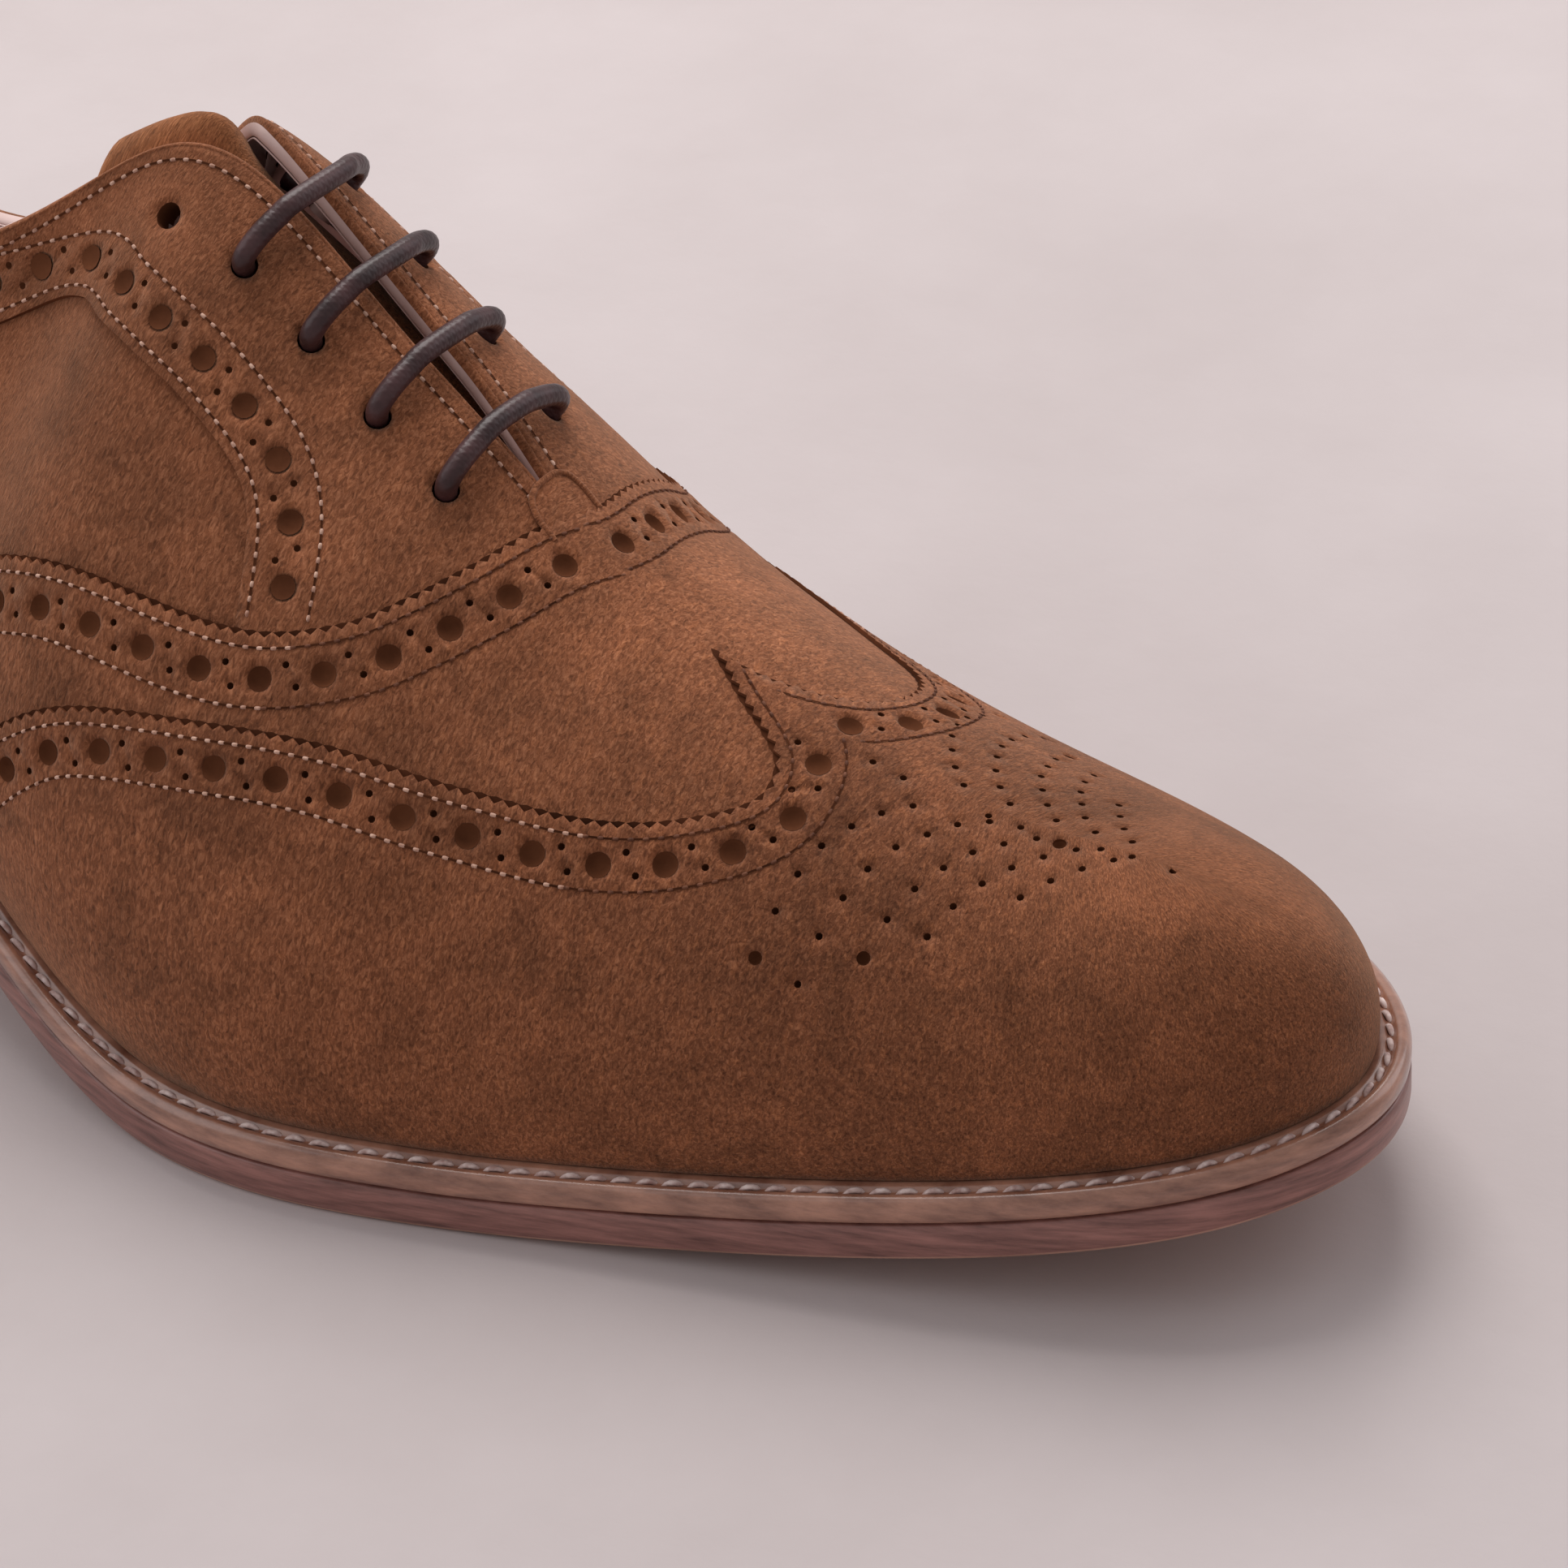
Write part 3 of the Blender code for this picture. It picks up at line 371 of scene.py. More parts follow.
def offset(side, line, distance):
    return line + leftward(side, line) * np.asarray(distance)[..., None]


def pinked(side, line):
    """A line cut in small teeth."""
    marks = even(side, line, TOOTH_PITCH / 2)
    depth = np.where(np.arange(len(marks)) % 2 == 0, 0.0, -TOOTH_DEPTH)
    depth[0] = depth[-1] = 0.0
    return offset(side, marks, depth)


def rings(side, centres, radius, count):
    """Circles of a real radius round chart points."""
    values, vectors = np.linalg.eigh(metric(side, centres))
    inverse = np.einsum("nij,nj,nkj->nik", vectors, 1.0 / np.sqrt(values), vectors)
    angles = np.arange(count) * 2 * math.pi / count
    circle = np.column_stack([np.cos(angles), np.sin(angles)]) * radius
    return centres[:, None, :] + np.einsum("nij,kj->nki", inverse, circle)


def inside(outline, points):
    a = outline * CHART
    b = np.roll(a, -1, 0)
    p = points * CHART
    crosses = (a[None, :, 1] > p[:, None, 1]) != (b[None, :, 1] > p[:, None, 1])
    rise = np.where(b[:, 1] == a[:, 1], 1.0, b[:, 1] - a[:, 1])
    at = a[None, :, 0] + (p[:, None, 1] - a[None, :, 1]) * ((b - a)[:, 0] / rise)[None, :]
    return (np.sum(crosses & (p[:, None, 0] < at), axis=1) % 2).astype(bool)


def nearest(side, points, others):
    """Real distance from each chart point to the nearest of other chart points."""
    if len(points) == 0 or len(others) == 0:
        return np.full(len(points), 1.0)
    here = surface(side * points[:, 0], np.clip(points[:, 1], 0, 1))
    there = surface(side * others[:, 0], np.clip(others[:, 1], 0, 1))
    result = np.empty(len(here))
    for i in range(0, len(here), 500):
        gap = here[i:i + 500, None, :] - there[None, :, :]
        result[i:i + 500] = np.sqrt((gap * gap).sum(-1).min(1))
    return result


def join_runs(*runs):
    points = [runs[0][0]]
    for run in runs:
        points += [p for p in run if np.abs((p - points[-1]) * CHART).max() > 1e-6]
    if np.abs((points[0] - points[-1]) * CHART).max() < 1e-6:
        points.pop()
    return np.array(points)


def flat_run(start, end, height):
    count = max(2, int(abs(end - start) / GRID_STATION) + 1)
    return np.column_stack([np.linspace(start, end, count), np.full(count, height)])


def rib_run(station, start, end):
    count = max(2, int(abs(end - start) / GRID_HEIGHT) + 1)
    return np.column_stack([np.full(count, station), np.linspace(start, end, count)])


# Creases: side, start and end on the chart, half width and depth in metres
CREASES = (
    (1, 4.95, 0.80, 5.35, 0.62, 0.0050, 0.00035),
    (1, 4.70, 0.80, 5.00, 0.66, 0.0050, -0.00025),
    (-1, 4.95, 0.80, 5.35, 0.62, 0.0050, 0.00035),
    (1, 5.70, 0.40, 6.10, 0.26, 0.0060, 0.00035),
    (-1, 5.70, 0.40, 6.10, 0.26, 0.0060, 0.00035),
    (1, 8.60, 0.62, 9.30, 0.50, 0.0070, 0.00050),
    (-1, 8.60, 0.62, 9.30, 0.50, 0.0070, 0.00050),
)


def crease_depth(side, points):
    depth = np.zeros(len(points))
    scale = CHART
    for crease_side, s0, h0, s1, h1, half, amount in CREASES:
        if crease_side != side:
            continue
        a = np.array([s0, h0]) * scale
        b = np.array([s1, h1]) * scale
        p = points * scale
        t = np.clip(((p - a) @ (b - a)) / ((b - a) @ (b - a)), 0.0, 1.0)
        gap = np.linalg.norm(p - a - t[:, None] * (b - a), axis=1)
        depth += amount * np.exp(-(gap / half) ** 2)
    return depth


# Materials
def shader_node(tree, kind, settings=None, **inputs):
    node = tree.nodes.new(kind)
    for name, value in (settings or {}).items():
        setattr(node, name, value)
    for name, value in inputs.items():
        key = int(name[1:]) if name[0] == "i" and name[1:].isdigit() else name.replace("_", " ")
        socket = node.inputs[key]
        if isinstance(value, bpy.types.NodeSocket):
            tree.links.new(value, socket)
        else:
            socket.default_value = value
    return node


def ramp(tree, factor, stops):
    node = tree.nodes.new("ShaderNodeValToRGB")
    elements = node.color_ramp.elements
    while len(elements) < len(stops):
        elements.new(0.5)
    for element, (place, colour) in zip(elements, stops):
        element.position = place
        element.color = (*colour, 1.0)
    tree.links.new(factor, node.inputs[0])
    return node.outputs[0]


def map_range(tree, value, low, high, start, end):
    node = shader_node(tree, "ShaderNodeMapRange", Value=value, From_Min=low, From_Max=high, To_Min=start,
                       To_Max=end)
    return node.outputs[0]


def mix(tree, kind, factor, first, second):
    node = shader_node(tree, "ShaderNodeMix", {"data_type": "RGBA", "blend_type": kind})
    for index, value in ((0, factor), (6, first), (7, second)):
        if isinstance(value, bpy.types.NodeSocket):
            tree.links.new(value, node.inputs[index])
        else:
            node.inputs[index].default_value = value
    return node.outputs[2]


def linear(*colour):
    """Scene-linear colour from display values out of 255."""
    values = [c / 255.0 for c in colour]
    return tuple(v / 12.92 if v <= 0.04045 else ((v + 0.055) / 1.055) ** 2.4 for v in values)


def new_material(name):
    material = bpy.data.materials.new(name)
    material.use_nodes = True
    tree = material.node_tree
    return material, tree, tree.nodes["Principled BSDF"]


def set_shader(shader, **values):
    for name, value in values.items():
        shader.inputs[name.replace("_", " ")].default_value = value


def suede(name, dark, middle, light, bump=0.5):
    """Suede with a short leaning nap, brushed patches and fine grain."""
    material, tree, shader = new_material(name)
    coords = shader_node(tree, "ShaderNodeTexCoord")
    nap = shader_node(tree, "ShaderNodeMapping", Vector=coords.outputs["UV"],
                      Rotation=(0.0, 0.0, math.radians(24)), Scale=(3600.0, 1250.0, 1.0))
    fibres = shader_node(tree, "ShaderNodeTexNoise", Vector=nap.outputs[0], Scale=1.0, Detail=3.0,
                         Roughness=0.62, Distortion=0.9)
    grain = shader_node(tree, "ShaderNodeTexNoise", Vector=coords.outputs["Object"], Scale=2400.0,
                        Detail=2.0)
    patches = shader_node(tree, "ShaderNodeTexNoise", Vector=coords.outputs["Object"], Scale=95.0,
                          Detail=5.0, Roughness=0.6, Distortion=0.6)
    clouds = shader_node(tree, "ShaderNodeTexNoise", Vector=coords.outputs["Object"], Scale=26.0,
                         Detail=3.0)
    base = ramp(tree, fibres.outputs[0], ((0.30, dark), (0.50, middle), (0.70, light)))
    shade = ramp(tree, patches.outputs[0], ((0.30, (0.70,) * 3), (0.52, (0.98,) * 3), (0.72, (1.22,) * 3)))
    cloud = ramp(tree, clouds.outputs[0], ((0.30, (0.80,) * 3), (0.70, (1.16,) * 3)))
    colour = mix(tree, "MULTIPLY", 1.0, base, shade)
    colour = mix(tree, "MULTIPLY", 1.0, colour, cloud)
    longer = shader_node(tree, "ShaderNodeMapping", Vector=coords.outputs["UV"],
                         Rotation=(0.0, 0.0, math.radians(16)), Scale=(1700.0, 430.0, 1.0))
    tufts = shader_node(tree, "ShaderNodeTexNoise", Vector=longer.outputs[0], Scale=1.0, Detail=2.5,
                        Roughness=0.55, Distortion=0.9)
    place = shader_node(tree, "ShaderNodeSeparateXYZ", Vector=coords.outputs["Object"])
    ahead = map_range(tree, place.outputs[0], 0.11, 0.25, 0.22, 1.0)
    low = map_range(tree, place.outputs[2], 0.050, 0.014, 0.0, 0.5)
    share = shader_node(tree, "ShaderNodeMath", {"operation": "MAXIMUM"}, i0=ahead, i1=low)
    tuft_tone = ramp(tree, tufts.outputs[0], ((0.32, (0.70, 0.68, 0.66)), (0.50, (0.98,) * 3),
                                              (0.70, (1.30, 1.29, 1.18))))
    colour = mix(tree, "MULTIPLY", share.outputs[0], colour, tuft_tone)
    tree.links.new(colour, shader.inputs["Base Color"])
    sum_height = shader_node(tree, "ShaderNodeMath", {"operation": "MULTIPLY_ADD"},
                             i0=grain.outputs[0], i1=0.35, i2=fibres.outputs[0])
    tuft_height = shader_node(tree, "ShaderNodeMath", {"operation": "MULTIPLY_ADD"},
                              i0=tufts.outputs[0], i1=share.outputs[0], i2=sum_height.outputs[0])
    raised = shader_node(tree, "ShaderNodeBump", Strength=bump, Distance=0.00035,
                         Height=tuft_height.outputs[0])
    tree.links.new(raised.outputs[0], shader.inputs["Normal"])
    set_shader(shader, Roughness=0.95, Sheen_Weight=0.28, Sheen_Roughness=0.45,
               Sheen_Tint=(1.0, 0.72, 0.52, 1.0), Specular_IOR_Level=0.15)
    return material


def smooth_leather(name, dark, light, roughness, stretch=(60.0, 60.0, 60.0), coat=0.0, bump=0.15,
                   specular=0.5):
    material, tree, shader = new_material(name)
    coords = shader_node(tree, "ShaderNodeTexCoord")
    along = shader_node(tree, "ShaderNodeMapping", Vector=coords.outputs["Object"], Scale=stretch)
    tone = shader_node(tree, "ShaderNodeTexNoise", Vector=along.outputs[0], Scale=1.0, Detail=6.0,
                       Roughness=0.65)
    pores = shader_node(tree, "ShaderNodeTexNoise", Vector=coords.outputs["Object"], Scale=1500.0,
                        Detail=3.0)
    colour = ramp(tree, tone.outputs[0], ((0.30, dark), (0.68, light)))
    tree.links.new(colour, shader.inputs["Base Color"])
    rough = shader_node(tree, "ShaderNodeMapRange", Value=tone.outputs[0])
    rough.inputs["To Min"].default_value = roughness - 0.08
    rough.inputs["To Max"].default_value = roughness + 0.12
    tree.links.new(rough.outputs[0], shader.inputs["Roughness"])
    raised = shader_node(tree, "ShaderNodeBump", Strength=bump, Distance=0.0002, Height=pores.outputs[0])
    tree.links.new(raised.outputs[0], shader.inputs["Normal"])
    set_shader(shader, Coat_Weight=coat, Coat_Roughness=0.2, Specular_IOR_Level=specular)
    return material


def thread(name, dark, light, sheen=0.3):
    material, tree, shader = new_material(name)
    coords = shader_node(tree, "ShaderNodeTexCoord")
    tone = shader_node(tree, "ShaderNodeTexNoise", Vector=coords.outputs["Object"], Scale=900.0, Detail=2.0)
    colour = ramp(tree, tone.outputs[0], ((0.3, dark), (0.7, light)))
    tree.links.new(colour, shader.inputs["Base Color"])
    raised = shader_node(tree, "ShaderNodeBump", Strength=0.5, Distance=0.0001, Height=tone.outputs[0])
    tree.links.new(raised.outputs[0], shader.inputs["Normal"])
    set_shader(shader, Roughness=0.7, Sheen_Weight=sheen, Specular_IOR_Level=0.25)
    return material


def waxed_cord(name):
    """Tightly braided waxed cord: fine crossed ridges under a soft gloss."""
    material, tree, shader = new_material(name)
    coords = shader_node(tree, "ShaderNodeTexCoord")
    waves = []
    for turn in (1, -1):
        lay = shader_node(tree, "ShaderNodeMapping", Vector=coords.outputs["UV"],
                          Rotation=(0.0, 0.0, turn * math.radians(35)), Scale=(1.0, 1.0, 1.0))
        waves.append(shader_node(tree, "ShaderNodeTexWave", Vector=lay.outputs[0], Scale=380.0))
    braid = shader_node(tree, "ShaderNodeMath", {"operation": "MAXIMUM"},
                        i0=waves[0].outputs[1], i1=waves[1].outputs[1])
    tone = shader_node(tree, "ShaderNodeTexNoise", Vector=coords.outputs["Object"], Scale=300.0, Detail=4.0)
    colour = ramp(tree, tone.outputs[0], ((0.3, linear(44, 24, 25)), (0.7, linear(76, 47, 48))))
    tree.links.new(colour, shader.inputs["Base Color"])
    raised = shader_node(tree, "ShaderNodeBump", Strength=0.35, Distance=0.00012, Height=braid.outputs[0])
    tree.links.new(raised.outputs[0], shader.inputs["Normal"])
    set_shader(shader, Roughness=0.45, Specular_IOR_Level=0.35, Coat_Weight=0.18, Coat_Roughness=0.25)
    return material


def floor_material():
    material, tree, shader = new_material("pale_floor")
    coords = shader_node(tree, "ShaderNodeTexCoord")
    cloudy = shader_node(tree, "ShaderNodeTexNoise", Vector=coords.outputs["Object"], Scale=9.0, Detail=6.0,
                         Roughness=0.6)
    fine = shader_node(tree, "ShaderNodeTexNoise", Vector=coords.outputs["Object"], Scale=260.0, Detail=4.0)
    colour = ramp(tree, cloudy.outputs[0], ((0.2, FLOOR_DARK), (0.8, FLOOR_LIGHT)))
    tree.links.new(colour, shader.inputs["Base Color"])
    raised = shader_node(tree, "ShaderNodeBump", Strength=0.25, Distance=0.0004, Height=fine.outputs[0])
    tree.links.new(raised.outputs[0], shader.inputs["Normal"])
    set_shader(shader, Roughness=0.75)
    return material


FLOOR_DARK = linear(188, 177, 176)
FLOOR_LIGHT = linear(206, 196, 196)

SUEDE = suede("suede", linear(100, 58, 37), linear(138, 84, 56), linear(170, 112, 80))
WING_SUEDE = suede("suede_wing", linear(96, 55, 35), linear(134, 81, 54), linear(167, 109, 77))
TONGUE_SUEDE = suede("suede_tongue", linear(104, 60, 36), linear(150, 94, 60), linear(186, 122, 82))
RAW_EDGE = smooth_leather("raw_edge", linear(66, 36, 22), linear(108, 64, 42), 0.95, specular=0.05)
# Painted shade: dark brown for the bottoms of punched holes
HOLE_SHADE_BROWN = smooth_leather("hole_shade_brown", linear(70, 38, 23), linear(112, 68, 45), 0.95, specular=0.05)
LINING = smooth_leather("lining", linear(196, 164, 156), linear(224, 198, 192), 0.55)
WELT_LEATHER = smooth_leather("welt", linear(112, 70, 54), linear(186, 134, 110), 0.30, (120, 120, 500), 0.9)
SOLE_LEATHER = smooth_leather("sole_edge", linear(98, 60, 53), linear(166, 114, 104), 0.40, (90, 90, 900), 0.3)
PALE_EDGE = smooth_leather("pale_edge", linear(150, 108, 92), linear(190, 146, 128), 0.5)
SOLE_BOTTOM = smooth_leather("sole_bottom", linear(176, 128, 104), linear(206, 160, 134), 0.6)
HEEL_LEATHER = smooth_leather("heel_edge", linear(86, 54, 48), linear(134, 92, 84), 0.4, (60, 60, 900), 0.3)
RUBBER = smooth_leather("rubber", linear(30, 26, 26), linear(46, 40, 40), 0.7)
# Painted shade: dark brown for the strips behind pinked edges and along stitch rows
PAINTED_SHADE = smooth_leather("painted_shade", linear(50, 26, 15), linear(88, 50, 32), 0.95, specular=0.05)
THREAD = thread("thread", linear(170, 122, 100), linear(222, 182, 160))
DARK_THREAD = thread("dark_thread", linear(84, 48, 32), linear(132, 84, 60), 0.0)
WELT_THREAD = thread("welt_thread", linear(176, 140, 132), linear(240, 220, 214))
CORD = waxed_cord("waxed_cord")


# Punched holes by radius: sides, how far the rim is pressed in, and depth of the wall
HOLE_KINDS = {
    BIG_HOLE: (16, 0.00058, 0.0012),
    MEDIUM_HOLE: (12, 0.00025, 0.0010),
    PINHOLE: (8, 0.00012, 0.0010),
    EYELET_HOLE: (16, 0.00045, 0.0028),
}


# Meshes
def make_object(name, verts, faces, materials, indices=None, uvs=None, normals=None):
    mesh = bpy.data.meshes.new(name)
    mesh.from_pydata(np.asarray(verts, float).tolist(), [], faces)
    for material in materials:
        mesh.materials.append(material)
    if indices is not None:
        mesh.polygons.foreach_set("material_index", np.asarray(indices, dtype=np.int32))
    mesh.shade_smooth()
    if uvs is not None:
        layer = mesh.uv_layers.new(name="chart")
        loops = np.empty(len(mesh.loops), dtype=np.int32)
        mesh.loops.foreach_get("vertex_index", loops)
        layer.data.foreach_set("uv", np.asarray(uvs, float)[loops].ravel())
    if normals is not None:
        mesh.normals_split_custom_set_from_vertices(np.asarray(normals, float).tolist())
    obj = bpy.data.objects.new(name, mesh)
    bpy.context.scene.collection.objects.link(obj)
    return obj


def finish_piece(obj, slot, *nodes):
    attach(obj, "root")
    if nodes:
        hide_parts(*nodes)
    return obj


def flat_list(arrays):
    return np.vstack([a.reshape(-1, 2) for a in arrays]) if arrays else np.zeros((0, 2))


def panel_side(side, outline, depth, wall, punched, rows):
    """One side of a suede panel: holes punched through, troughs along its stitch rows."""
    punched = [(centres, radius) for centres, radius in punched if len(centres)]
    loops, halo = [], []
    for centres, radius in punched:
        count, sink, hole_wall = HOLE_KINDS[radius]
        loops += [(ring, sink, hole_wall) for ring in rings(side, centres, radius, count)]
        if radius > PINHOLE:
            halo.append(rings(side, centres, radius * HALO, count))
    halo = flat_list(halo)
    trough = flat_list([even(side, row, 0.0012) for row in rows])
    banks = flat_list([even(side, offset(side, even(side, row, 0.0012), k * TROUGH_HALF), 0.0014)
                       for row in rows for k in (-1, 1)])
    s = np.arange(0.0, HEEL_STATION + 0.01, GRID_STATION)
    h = np.arange(GRID_HEIGHT / 2, 1.0, GRID_HEIGHT)
    grid = np.stack(np.meshgrid(s, h), -1).reshape(-1, 2)
    grid = grid[inside(outline, grid)]
    edge = even(side, outline, 0.0012)
    holes = flat_list([loop for loop, _, _ in loops])
    grid = grid[nearest(side, grid, edge) > 0.0009]
    grid = grid[nearest(side, grid, np.vstack([holes, halo, trough, banks])) > 0.0010]
    for centres, radius in punched:
        grid = grid[nearest(side, grid, centres) > radius * 1.2]
    extra = []
    for points, sink in ((halo, 0.0), (trough, TROUGH_DEPTH), (banks, 0.0)):
        if len(points):
            keep = inside(outline, points) & (nearest(side, points, edge) > 0.0006)
            if len(holes):
                keep &= nearest(side, points, holes) > 0.0004
            for centres, radius in punched:
                keep &= nearest(side, points, centres) > radius * 1.1
            points = points[keep]
        extra.append((points, sink))
    parts = [(outline, 0.00010)] + [(loop, sink) for loop, sink, _ in loops] + extra + [(grid, 0.0)]
    chart = np.vstack([p for p, _ in parts])
    sinks = np.concatenate([np.full(len(p), sink) for p, sink in parts])
    edges = []
    tags = np.full(len(chart), -1)
    walls = np.full(len(chart), wall)
    start = len(outline)
    for number, (loop, _, hole_wall) in enumerate(loops):
        count = len(loop)
        edges += [(start + i, start + (i + 1) % count) for i in range(count)]
        tags[start:start + count] = number
        walls[start:start + count] = hole_wall
        start += count
    found = delaunay_2d_cdt([Vector(p) for p in (chart * CHART).tolist()], edges,
                            [list(range(len(outline)))], 1, 1e-8)
    points = np.array([tuple(p) for p in found[0]]) / CHART
    origin = np.array([o[0] if o else -1 for o in found[3]])
    known = origin >= 0
    tag = np.where(known, tags[origin], -1)
    sink = np.where(known, sinks[origin], 0.0)
    wall_of = np.where(known, walls[origin], wall)
    triangles = np.array(found[2])
    hole = (tag[triangles[:, 0]] >= 0) & (tag[triangles] == tag[triangles[:, :1]]).all(1)
    triangles = triangles[~hole]
    points[:, 1] = np.clip(points[:, 1], 0.0, 1.0)
    on_seam = (points[:, 1] > 0.9995) & (points[:, 0] <= CLOSED_STATION)
    on_seam |= (points[:, 0] < 1e-5) | (points[:, 0] > HEEL_STATION - 1e-5)
    sink = np.where(on_seam, 0.0, sink) + crease_depth(side, points)
    station = side * points[:, 0]
    top = skin(station, points[:, 1], depth + sink)
    base_normal = skin_normal(station, points[:, 1])
    if side < 0:
        triangles = triangles[:, ::-1]
    a, b, c = (top[triangles[:, k]] for k in range(3))
    face_normal = np.cross(b - a, c - a)
    flip = (face_normal * base_normal[triangles[:, 0]]).sum(1) < 0
    triangles[flip] = triangles[flip][:, ::-1]
    face_normal[flip] *= -1
    normal = np.zeros_like(top)
    for k in range(3):
        np.add.at(normal, triangles[:, k], face_normal)
    normal = unit(normal)
    normal[on_seam] = base_normal[on_seam]
    directed = np.vstack([triangles[:, [0, 1]], triangles[:, [1, 2]], triangles[:, [2, 0]]])
    present = {(int(i), int(j)) for i, j in directed}
    border = np.array([(i, j) for i, j in present if (j, i) not in present and not (on_seam[i] and on_seam[j])])
    out = np.zeros_like(top)
    run = unit(top[border[:, 1]] - top[border[:, 0]])
    sideways = np.cross(run, base_normal[border[:, 0]])
    np.add.at(out, border[:, 0], sideways)
    np.add.at(out, border[:, 1], sideways)
    rim = np.unique(border)
    out = unit(out)
    free = rim[~on_seam[rim]]
    normal[free] = unit(normal[free] + 0.6 * out[free])
    index = {int(v): len(top) + k for k, v in enumerate(rim)}
    upper_rim = top[rim]
    lower_rim = top[rim] - base_normal[rim] * wall_of[rim][:, None]
    shift = len(rim)
    walls_made = [(index[int(j)], index[int(i)], index[int(i)] + shift, index[int(j)] + shift)
                  for i, j in border]
    verts = np.vstack([top, upper_rim, lower_rim])
    zeros = np.zeros((2 * shift, 3))
    normals = np.vstack([normal, zeros])
    uv = points * CHART * (side, 1.0)
    uvs = np.vstack([uv, uv[rim], uv[rim]])
    faces = [tuple(int(i) for i in t) for t in triangles] + walls_made
    indices = [0] * len(triangles) + [1] * len(walls_made)
    return verts, faces, indices, uvs, normals


def panel(name, sides, depth, wall, material, slot, *nodes):
    """A suede panel from both of its sides."""
    verts, faces, indices, uvs, normals = [], [], [], [], []
    start = 0
    for side, outline, punched, rows in sides:
        v, f, i, u, n = panel_side(side, outline, depth, wall, punched, rows)
        verts.append(v)
        uvs.append(u)
        normals.append(n)
        indices += i
        faces += [tuple(k + start for k in face) for face in f]
        start += len(v)
    obj = make_object(name, np.vstack(verts), faces, [material, RAW_EDGE], indices, np.vstack(uvs),
                      np.vstack(normals))
    return finish_piece(obj, slot, *nodes)




# Punched bands
def band_holes(side, line, distance):
    """Large holes along a band, with a leaning pair of pinholes between each two."""
    middle = offset(side, even(side, line, 0.002), distance)
    big = even(side, middle, HOLE_PITCH, start=HOLE_PITCH * 0.45)
    run = even(side, middle, HOLE_PITCH / 8)
    between = (big[:-1] + big[1:]) / 2
    left = leftward(side, between)
    tangent = np.gradient(between, axis=0)
    gram = metric(side, between)
    length = np.sqrt(np.einsum("nij,ni,nj->n", gram, tangent, tangent))
    ahead = tangent / length[:, None]
    small = np.vstack([between + left * PINHOLE_SPREAD + ahead * 0.0006,
                       between - left * PINHOLE_SPREAD - ahead * 0.0006])
    return big, small, run


def clip_points(points, low_station, high_station, top=0.975):
    keep = (points[:, 0] > low_station) & (points[:, 0] < high_station) & (points[:, 1] < top)
    return points[keep & (points[:, 1] > 0.02)]


def height_below_rim(side, station, distance):
    heights = np.linspace(1.0, 0.5, 101)
    points = surface(side * station, heights)
    run = np.concatenate([[0.0], np.cumsum(np.linalg.norm(np.diff(points, axis=0), axis=1))])
    return float(np.interp(distance, run, heights))


def eyelet_stations():
    stations = np.linspace(FIRST_EYELET, FIRST_EYELET + 3.0, 301)
    heights = [height_below_rim(1, s, EYELET_INSET) for s in stations]
    points = surface(stations, np.array(heights))
    run = np.concatenate([[0.0], np.cumsum(np.linalg.norm(np.diff(points, axis=0), axis=1))])
    return [float(np.interp(i * EYELET_SPACING, run, stations)) for i in range(EYELET_COUNT)]


def eyelet_frames():
    frames = {}
    for number, station in enumerate(eyelet_stations()):
        height = height_below_rim(1, station, EYELET_INSET)
        for side in (-1, 1):
            loop_station = -side * station
            place = skin(loop_station, height)
            normal = side_normal(np.array(loop_station), np.array(height))
            frames[side, number] = (place, normal, loop_station, height)
    return frames


EYELETS = eyelet_frames()
EYELET_POINTS = np.array([(abs(EYELETS[-1, n][2]), EYELETS[-1, n][3]) for n in range(EYELET_COUNT)])

# Medallion: distances back from the foremost hole and out from the middle, and size
MEDALLION_FRONT = 0.2435
MEDALLION_MIDDLE = ((0, 0), (5, 0), (9, 0), (14, 1), (19, 0), (23, 0), (29, 1), (34, 0), (38, 0))
MEDALLION_CHEVRONS = ((3, 4), (8, 6), (13, 7), (19, 8), (25, 8))
CHEVRON_PITCH = 0.0036
CHEVRON_LEAN = 1.05


def medallion(side):
    """Chart points of the large and the small holes of the toe's punched figure."""
    stations = np.linspace(0.0, 5.0, 401)
    heights = np.linspace(0.3, 0.998, 181)
    table = np.stack(np.meshgrid(stations, heights, indexing="ij"), -1).reshape(-1, 2)
    places = surface(side * table[:, 0], table[:, 1])
    wanted = []
    for back, large in MEDALLION_MIDDLE:
        wanted.append((back / 1000, 0.0, large))
    for start, count in MEDALLION_CHEVRONS:
        for k in range(1, count + 1):
            out = k * CHEVRON_PITCH * math.cos(CHEVRON_LEAN - 0.07 * k)
            back = start / 1000 + k * CHEVRON_PITCH * math.sin(CHEVRON_LEAN - 0.07 * k)
            wanted.append((back, out, 1 if k == count and start in (13, 25) else 0))
    big, small = [], []
    for back, out, large in wanted:
        x = MEDALLION_FRONT - back
        middle = np.interp(x, CROWN_X, CROWN_SIDE)
        y = middle - side * out
        if out == 0.0 and side < 0:
            continue
        gap = (places[:, 0] - x) ** 2 + (places[:, 1] - y) ** 2
        point = table[np.argmin(gap)]
        if out == 0.0:
            point = (point[0], 0.968 if large else 0.980)
        (big if large else small).append(point)
    return np.array(big).reshape(-1, 2), np.array(small).reshape(-1, 2)


def crown_side_profile():
    _, crown, _ = feather_and_crown(np.linspace(0.0, HEEL_STATION, 400))
    order = np.argsort(crown[:, 0])
    middle = BALL_WIDTH * station_values(np.linspace(0.0, HEEL_STATION, 400))["crown_side"]
    return middle[order]


CROWN_SIDE = crown_side_profile()


